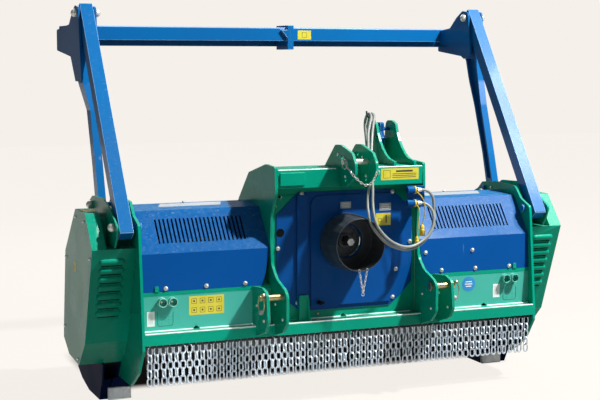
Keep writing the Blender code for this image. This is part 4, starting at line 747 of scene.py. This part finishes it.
def labels():
    """Labels of the panels, the top beam, the covers and the push bar, and grey bands of painted
    sheen on the hoods' top faces.
    """
    marks = []
    for column in (-0.057, -0.019, 0.019, 0.057):
        for row in (-0.020, 0.020):
            marks += boxed(column, row, 0.022, 0.022)
            marks.append((column, row, 0.008, 0.008))
    label("label_yellow_panel", facing(at(-0.668, PANEL_Y, 0.4735)), 0.160, 0.083, VINYL_YELLOW,
          marks)
    marks = boxed(-0.066, 0.0, 0.034, 0.034) + [(0.022, 0.013, 0.085, 0.008)]
    marks += [(0.022, y, 0.120, 0.0028) for y in (0.001, -0.007, -0.015)]
    label("label_yellow_beam", facing(at(0.240, -0.006, 1.021)), 0.190, 0.052, VINYL_YELLOW, marks)
    marks = [(x, 0.0, 0.0012, 0.044) for x in (-0.009, -0.004, 0.001, 0.006)]
    label("label_white_left", facing(at(-0.920, PANEL_Y, 0.4275)), 0.034, 0.065, VINYL_WHITE,
          marks, VINYL_GREY)
    label("label_white_right", facing(at(0.7835, PANEL_Y, 0.441)), 0.036, 0.064, VINYL_WHITE,
          marks, VINYL_GREY)
    marks = [(0.0, y, w, 0.0030) for y, w in ((0.008, 0.036), (0.0, 0.044), (-0.008, 0.036))]
    label("label_grey_cover", facing(at(-0.003, RAISED_Y, 0.883)), 0.052, 0.030, VINYL_GREY, marks,
          VINYL_WHITE)
    label("label_grey_cover_right", facing(at(0.195, RAISED_Y, 0.8675)), 0.058, 0.034, VINYL_GREY,
          marks, VINYL_WHITE)
    marks = boxed(-0.018, -0.004, 0.016, 0.016) + [(0.014, 0.0, 0.006, 0.036)]
    label("label_yellow_cover", facing(at(0.186, RAISED_Y, 0.8105)), 0.074, 0.056, VINYL_YELLOW,
          marks)
    label("label_yellow_bar", facing(at(0.187, 0.9998, 1.663)), 0.074, 0.046, VINYL_YELLOW,
          boxed(0.0, 0.0, 0.024, 0.024))
    label("label_yellow_belt_cover", facing(at(-1.120, 0.305, 0.8794), RIGHT, (0.0, 1.0, 0.0)),
          0.060, 0.110, VINYL_YELLOW)
    label("label_yellow_belt_cover_side", facing(at(-1.1631, 0.4105, 0.6185), FRONT), 0.040, 0.046,
          VINYL_YELLOW)
    bm = bmesh.new()
    base = facing(at(0.633, PANEL_Y, 0.482))
    prism(bm, base, round_outline(0.035, 28), FILM)
    piece("label_blue_round", bm, VINYL_BLUE)
    bm = bmesh.new()
    for y, w in ((0.011, 0.034), (0.0, 0.040), (-0.011, 0.030)):
        prism(bm, base, oblong(w, 0.0045, 0.0, y), PRINTED)
    piece("label_blue_round_print", bm, VINYL_WHITE)
    # grey film on the hoods' top faces: a painted sheen of the sky
    up_slope = (0.0, 0.160, 0.013)
    for word, x, width in (("left", -0.660, 0.290), ("right", 0.675, 0.300)):
        bm = bmesh.new()
        prism(bm, facing(at(x, 0.300, 0.8888), RIGHT, up_slope), oblong(width, 0.070, slant=0.014),
              FILM)
        piece(f"painted_sheen_hood_{word}", bm, VINYL_GREY)


# Green details

TAB_X = {"left": -0.893, "right": 0.881}
LIP_SPAN = (0.3700, 0.9590)
GROOVE_ROUTE = ((0.821, 0.455), (0.821, 0.404), (0.824, 0.397), (0.831, 0.394), (0.881, 0.394),
                (0.888, 0.397), (0.891, 0.404), (0.891, 0.455))
PANEL_WELDS = ((0.3710, 0.7005), (0.7315, 0.9590))
MIDDLE_WELDS = ((-0.185, -0.024), (0.006, 0.330))
# spans of the painted glint along the top beam's and the front beam's edges
TOP_BEAM_GLINT = ((-0.352, -0.078), (0.066, 0.352))
FRONT_BEAM_GLINT = ((-0.9580, -0.4570), (-0.4425, -0.3705), (-0.3560, 0.3560), (0.3705, 0.4425),
                   (0.4570, 0.9580))


def panel_lip(side, word):
    """Folded lip along a front panel's top, with the tab that hooks over the hood's edge."""
    bm = bmesh.new()
    tab = [(-0.009, -0.012), (0.009, -0.012), (0.009, 0.010), (0.006, 0.013), (-0.006, 0.013),
           (-0.009, 0.010)]
    prism(bm, facing(at(TAB_X[word], 0.0472, 0.555)), tab, 0.0040, 0.0008)
    inner, outer = LIP_SPAN
    lip = facing(at(side * (inner + outer) / 2, PANEL_Y + 0.0002, 0.5345))
    prism(bm, lip, oblong(outer - inner, 0.0160), 0.0012)
    piece(f"panel_lip_{word}", bm, GREEN)


def panel_groove_shade(side, word):
    """Groove round three sides of a small panel, with six dimples in it, drawn as dark lines and
    discs of painted shade.
    """
    bm = bmesh.new()
    sweep(bm, [at(side * x, PANEL_Y, z) for x, z in GROOVE_ROUTE], 0.0011, 6)
    for x in (0.840, 0.872):
        for z in (0.405, 0.420, 0.435):
            lathe(bm, aimed(at(side * x, PANEL_Y, z), FRONT),
                  [(0.0016, -0.001), (0.0016, 0.0006), (0.0, 0.0006)], 8)
    piece(f"panel_groove_shade_{word}", bm, GROOVE_SHADE)


def weld_bead(word, side, spans, y):
    """Fillet weld along the front beam's top, 7 mm wide, its edge uneven, coloured as a painted
    highlight.
    """
    bm = bmesh.new()
    for start, end in spans:
        start, end = side * start, side * end
        count = max(2, round(abs(end - start) / 0.006))
        route = [at(start + (end - start) * k / count, y + random.uniform(-0.0004, 0.0004), 0.3728)
                 for k in range(count + 1)]
        sweep(bm, route, 0.0034)
    piece(f"weld_bead_{word}", bm, GREEN_GLINT)


def painted_glint_edge(name, spans, y, z):
    """Painted glint along the edge of a beam: a near-white line between the plates that stand on it.
    """
    bm = bmesh.new()
    for start, end in spans:
        sweep(bm, [at(start, y, z), at(end, y, z)], 0.0030)
    piece(name, bm, GREEN_GLINT)


def green_details():
    """Lips and tabs in the machine's green, a groove in painted shade, and weld beads and beam edges
    in a painted glint.
    """
    for side, word in SIDES:
        panel_lip(side, word)
        panel_groove_shade(side, word)
        weld_bead(word, side, PANEL_WELDS, 0.0450)
    weld_bead("middle", 1, MIDDLE_WELDS, 0.0625)
    painted_glint_edge("beam_painted_glint_edge", TOP_BEAM_GLINT, -0.0030, 1.0540)
    painted_glint_edge("front_beam_painted_glint_edge", FRONT_BEAM_GLINT, 0.0020, 0.3700)


LOUVRES = 7
LOUVRE_FIRST = 0.060        # down the slope from the belt cover's upper front edge
LOUVRE_STEP = 0.042
LOUVRE_HALF = 0.042         # half the straight part
LOUVRE_END = 0.0145         # radius of the round ends
LOUVRE_RISE = 0.0125


def louvres():
    """Pressed louvres with rounded ends on the belt covers' front faces."""
    down = Vector((0.0, 0.160, -0.433)).normalized()
    steps = 6
    half_circle = [math.radians(-90 + 22.5 * i) for i in range(9)]
    for side, word in SIDES:
        bm = bmesh.new()
        for k in range(LOUVRES):
            spot = at(side * 1.072, 0.085, 0.733) + down * (LOUVRE_FIRST + LOUVRE_STEP * k)
            base = facing(spot, RIGHT, -down)
            rings = []
            for step in range(steps):
                rise = math.radians(90 * step / steps)
                r = LOUVRE_END * math.cos(rise) ** 0.8
                z = LOUVRE_RISE * math.sin(rise) - 0.0004
                outline = [(LOUVRE_HALF + r * math.cos(a), r * math.sin(a)) for a in half_circle]
                outline += [(-x, -y) for x, y in outline]
                rings.append([bm.verts.new(base @ Vector((x, y, z))) for x, y in outline])
            skin(bm, rings)
        piece(f"louvres_{word}", bm, GREEN)


# Fittings

def cover_fittings():
    """Grommet and turn knob of the gearbox cover, black discs at the back of six holes as painted
    shade, and the plate round the input shaft.
    """
    bm = bmesh.new()
    lathe(bm, aimed(at(-0.318, COVER_Y, 0.771), FRONT),
          [(0.0185, -0.0005), (0.0185, 0.0012), (0.0165, 0.0016), (0.0160, 0.0006),
           (0.0, 0.0006)], 24)
    # painted shade: flat black discs at the back of six holes
    for side in (-1, 1):
        for x, z in ((0.343, 0.942), (0.343, 0.888), (0.318, 0.930)):
            lathe(bm, aimed(at(side * x, 0.0700, z), FRONT),
                  [(0.0068, -0.001), (0.0068, 0.0), (0.0, 0.0)], 12)
    piece("cover_grommet", bm, CAP_BLACK)
    bm = bmesh.new()
    base = aimed(at(0.0, 0.070, 0.720), FRONT)
    lathe(bm, base, [(0.0200, -0.002), (0.0735, -0.002), (0.0735, 0.004), (0.062, 0.005),
                     (0.060, 0.002), (0.036, 0.002), (0.034, 0.010), (0.0220, 0.010),
                     (0.0200, 0.004), (0.0200, -0.002)], 40)
    for k in range(4):
        angle = 0.6 + math.pi * k / 2
        spot = Vector((0.049 * math.cos(angle), 0.049 * math.sin(angle), 0.002))
        prism(bm, base @ Matrix.Translation(spot), round_outline(0.007, 6), 0.006, 0.001)
    piece("gearbox_seal_plate", bm, SEAL)
    bm = bmesh.new()
    base = aimed(at(-0.134, RAISED_Y, 0.447), FRONT)
    lathe(bm, base, [(0.008, -0.001), (0.008, 0.004), (0.005, 0.005), (0.005, 0.014),
                     (0.009, 0.015), (0.009, 0.024), (0.007, 0.026), (0.0, 0.026)], 14)
    prism(bm, base @ Matrix.Translation((0.0, 0.0, 0.015)), oblong(0.036, 0.009), 0.008, 0.001)
    piece("cover_turn_knob", bm, CAP_BLACK)


def lynch_pins():
    """A lynch pin with its ring in each lower pin's outer end."""
    for side, word in SIDES:
        x = side * 0.4705
        ring_x = x + side * 0.003
        bm = bmesh.new()
        ring = [at(ring_x, -0.110 + 0.037 * math.sin(a), 0.489 + 0.040 * math.cos(a))
                for a in (math.tau * k / 28 for k in range(28))]
        sweep(bm, ring, 0.0018, 6, True, RIGHT)
        sweep(bm, [at(x, -0.128, 0.530), at(x, -0.074, 0.498)], 0.0042, 10)
        lathe(bm, aimed(at(x, -0.122, 0.526), (0.0, -0.86, 0.51)),
              [(0.0045, 0.0), (0.0085, 0.001), (0.0085, 0.012), (0.006, 0.014), (0.0, 0.014)], 14)
        piece(f"lynch_pin_{word}", bm, PIN_ZINC)
        bm = bmesh.new()
        lathe(bm, aimed(at(ring_x, -0.108, 0.453), (0.0, -0.3, -1.0)),
              [(0.0, -0.010), (0.007, -0.009), (0.0105, -0.003), (0.0105, 0.005), (0.007, 0.011),
               (0.0, 0.012)], 14)
        piece(f"lynch_ring_grip_{word}", bm, VINYL_GREY)


def small_chains():
    """Tether of the top-link pin and the chains that stop the shaft guard from turning."""
    bm = bmesh.new()
    ring_wire(bm, at(-0.070, -0.083, 1.079), 0.0215, 0.0016, (1.0, 0.1, 0.0))
    tether = [at(*p) for p in
              ((-0.071, -0.104, 1.070), (-0.072, -0.140, 1.058), (-0.070, -0.168, 1.040),
               (-0.058, -0.176, 1.026), (-0.037, -0.178, 1.006), (-0.012, -0.178, 0.993),
               (0.012, -0.178, 0.997), (0.028, -0.178, 1.018), (0.040, -0.175, 1.040),
               (0.050, -0.172, 1.058))]
    chain_line(bm, tether, 0.0125, 0.0175, 0.0115, 0.0016)
    ring_wire(bm, at(0.052, -0.170, 1.047), 0.0090, 0.0014, (1.0, 0.5, 0.0))
    piece("top_pin_tether", bm, ZINC)
    bm = bmesh.new()
    for start in ((-0.004, -0.100, 0.603), (0.034, -0.100, 0.606)):
        chain_line(bm, [at(*start), at(0.014, -0.100, 0.505)], 0.0115, 0.0165, 0.0105, 0.0016)
    ring_wire(bm, at(0.014, -0.100, 0.497), 0.0065, 0.0014, (0.0, 1.0, 0.0))
    piece("guard_chains", bm, ZINC)


def dust_caps():
    """Yellow caps on their straps below the parked couplers, and the couplers' bands."""
    bm = bmesh.new()
    for z in COUPLER_Z:
        lathe(bm, aimed(at(0.296, COUPLER_Y, z), RIGHT),
              [(0.0155, 0.0), (0.0178, 0.001), (0.0178, 0.008), (0.0155, 0.009)], 20)
    straps = ([(0.303, -0.054, 0.940), (0.318, -0.058, 0.926), (0.335, -0.056, 0.905),
               (0.347, -0.050, 0.870), (0.349, -0.044, 0.835), (0.345, -0.038, 0.805),
               (0.342, -0.034, 0.788)],
              [(0.303, -0.054, 0.880), (0.312, -0.057, 0.868), (0.317, -0.054, 0.840),
               (0.315, -0.048, 0.800), (0.313, -0.042, 0.762), (0.314, -0.036, 0.735)])
    for strap in straps:
        sweep(bm, [at(*p) for p in strap], 0.0024)
    for x, low, high, r in ((0.341, 0.736, 0.788, 0.0130), (0.314, 0.692, 0.736, 0.0105)):
        lathe(bm, aimed(at(x, -0.034, low), UP),
              [(0.0, 0.0), (r * 0.9, 0.0), (r, 0.002), (r, (high - low) * 0.55),
               (r * 0.82, (high - low) * 0.60), (r * 0.82, (high - low) * 0.85),
               (r * 0.35, high - low), (0.0, high - low)], 18)
    piece("yellow_dust_caps", bm, CAP_YELLOW)


# Studio

def camera():
    data = bpy.data.cameras.new("camera")
    data.lens = 80.81
    data.sensor_width = 36.0
    data.clip_end = 60.0
    cam = bpy.data.objects.new("camera", data)
    cam.location = at(-2.4911, -5.4669, 1.5356)
    cam.rotation_euler = (math.radians(84.0576), 0.0, math.radians(-22.3125))
    bpy.context.scene.collection.objects.link(cam)
    bpy.context.scene.camera = cam


def area_light(name, place, target, size, power, colour=(1.0, 1.0, 1.0), spread=180):
    data = bpy.data.lights.new(name, "AREA")
    data.shape = "RECTANGLE"
    data.size, data.size_y = size
    data.energy = power
    data.color = colour
    data.spread = math.radians(spread)
    light = bpy.data.objects.new(name, data)
    light.location = place
    light.rotation_euler = (Vector(target) - Vector(place)).to_track_quat("-Z", "Y").to_euler()
    bpy.context.scene.collection.objects.link(light)


def studio():
    """A high key light from the right front, one for the sheen of the right hood, a narrow one low
    down at the left curtain, broad, weak fills, and a pale backdrop."""
    scene = bpy.context.scene
    scene.view_settings.view_transform = "Standard"
    area_light("key", (3.8, -3.5, 7.1), (0.0, 0.0, 0.7), (0.4, 0.4), 1250, (1.0, 0.98, 0.95))
    area_light("sheen", (3.1, -1.4, 4.1), (1.0, -0.2, 0.9), (0.9, 0.9), 60)
    area_light("low", (-1.5, -3.9, 0.45), (-0.65, -0.40, 0.08), (0.4, 0.4), 0.6, spread=18)
    area_light("fill", (-4.4, -4.0, 2.4), (0.0, 0.0, 0.7), (3.5, 2.5), 8, (0.92, 0.96, 1.0))
    area_light("back", (0.5, 4.4, 4.0), (0.0, 0.0, 0.9), (4.0, 2.0), 80)
    world = bpy.data.worlds.new("studio")
    world.use_nodes = True
    scene.world = world
    tree = world.node_tree
    tree.nodes.clear()
    path = add(tree, "ShaderNodeLightPath")
    colour = add(tree, "ShaderNodeMix", {"data_type": "RGBA"},
                 {"Factor": seen_directly(tree, path), "A": hex_colour("#c9d6e2"),
                  "B": hex_colour(BACKDROP)})
    level = add(tree, "ShaderNodeMix", {"data_type": "FLOAT"},
                {"Factor": path.outputs["Is Camera Ray"], "A": 0.20, "B": 1.0})
    sky = add(tree, "ShaderNodeBackground", {},
              {"Color": colour.outputs["Result"], "Strength": level.outputs["Result"]})
    add(tree, "ShaderNodeOutputWorld", {}, {"Surface": sky.outputs[0]})


def floor_paint():
    """Matt paper that is seen in the backdrop's colour, with a deep, soft-edged painted shadow under
    the machine and behind its chains."""
    mat, tree = empty_material("pale_backdrop_paper")
    direct = seen_directly(tree, add(tree, "ShaderNodeLightPath"))
    paper = add(tree, "ShaderNodeBsdfDiffuse", {}, {"Color": hex_colour("#8b8883")})
    place = add(tree, "ShaderNodeTexCoord")
    split = add(tree, "ShaderNodeSeparateXYZ", {}, {0: place.outputs["Object"]})
    across, back = split.outputs["X"], split.outputs["Y"]
    # painted shadow: the paper goes near black under the machine and behind its chains
    shadow = 1.0
    for value, start, end in ((back, 0.03, 0.15), (back, 1.02, 0.66), (across, -1.03, -0.93),
                              (across, 1.26, 1.02)):
        edge = add(tree, "ShaderNodeMapRange", {"interpolation_type": "SMOOTHSTEP"},
                   {"Value": value, "From Min": start, "From Max": end})
        shadow = add(tree, "ShaderNodeMath", {"operation": "MULTIPLY"},
                     {0: shadow, 1: edge.outputs[0]}).outputs[0]
    soft = add(tree, "ShaderNodeBsdfDiffuse", {},
               {"Color": layered(tree, "#4c4a47", [(shadow, 1.0, "#050505")])})
    far = add(tree, "ShaderNodeMapRange", {"interpolation_type": "SMOOTHSTEP"},
              {"Value": back, "From Min": 0.5, "From Max": 6.0, "To Min": 0.965, "To Max": 1.0})
    strength = add(tree, "ShaderNodeMath", {"operation": "MULTIPLY_ADD"},
                   {0: shadow, 1: -0.96, 2: far.outputs[0]})
    glow = add(tree, "ShaderNodeEmission", {},
               {"Color": hex_colour(BACKDROP), "Strength": strength.outputs[0]})
    shown = add(tree, "ShaderNodeAddShader", {}, {0: soft.outputs[0], 1: glow.outputs[0]})
    mixed = add(tree, "ShaderNodeMixShader", {},
                {0: direct, 1: paper.outputs[0], 2: shown.outputs[0]})
    add(tree, "ShaderNodeOutputMaterial", {}, {"Surface": mixed.outputs[0]})
    return mat


def floor():
    """Pale studio floor: it keeps the machine's shadow and fades into the backdrop."""
    bm = bmesh.new()
    bmesh.ops.create_grid(bm, x_segments=2, y_segments=2, size=14.0)
    bmesh.ops.translate(bm, vec=(0.0, 4.0, -0.0005), verts=bm.verts)
    mesh = bpy.data.meshes.new("floor")
    bm.to_mesh(mesh)
    bm.free()
    obj = bpy.data.objects.new("floor", mesh)
    bpy.context.scene.collection.objects.link(obj)
    mesh.materials.append(floor_paint())


camera()
studio()
dress_nodes()
random.seed(7)
chain_curtains()
hoses()
cover_bolts()
plate_bolts()
labels()
green_details()
louvres()
cover_fittings()
lynch_pins()
small_chains()
dust_caps()
mast_fittings()
floor()
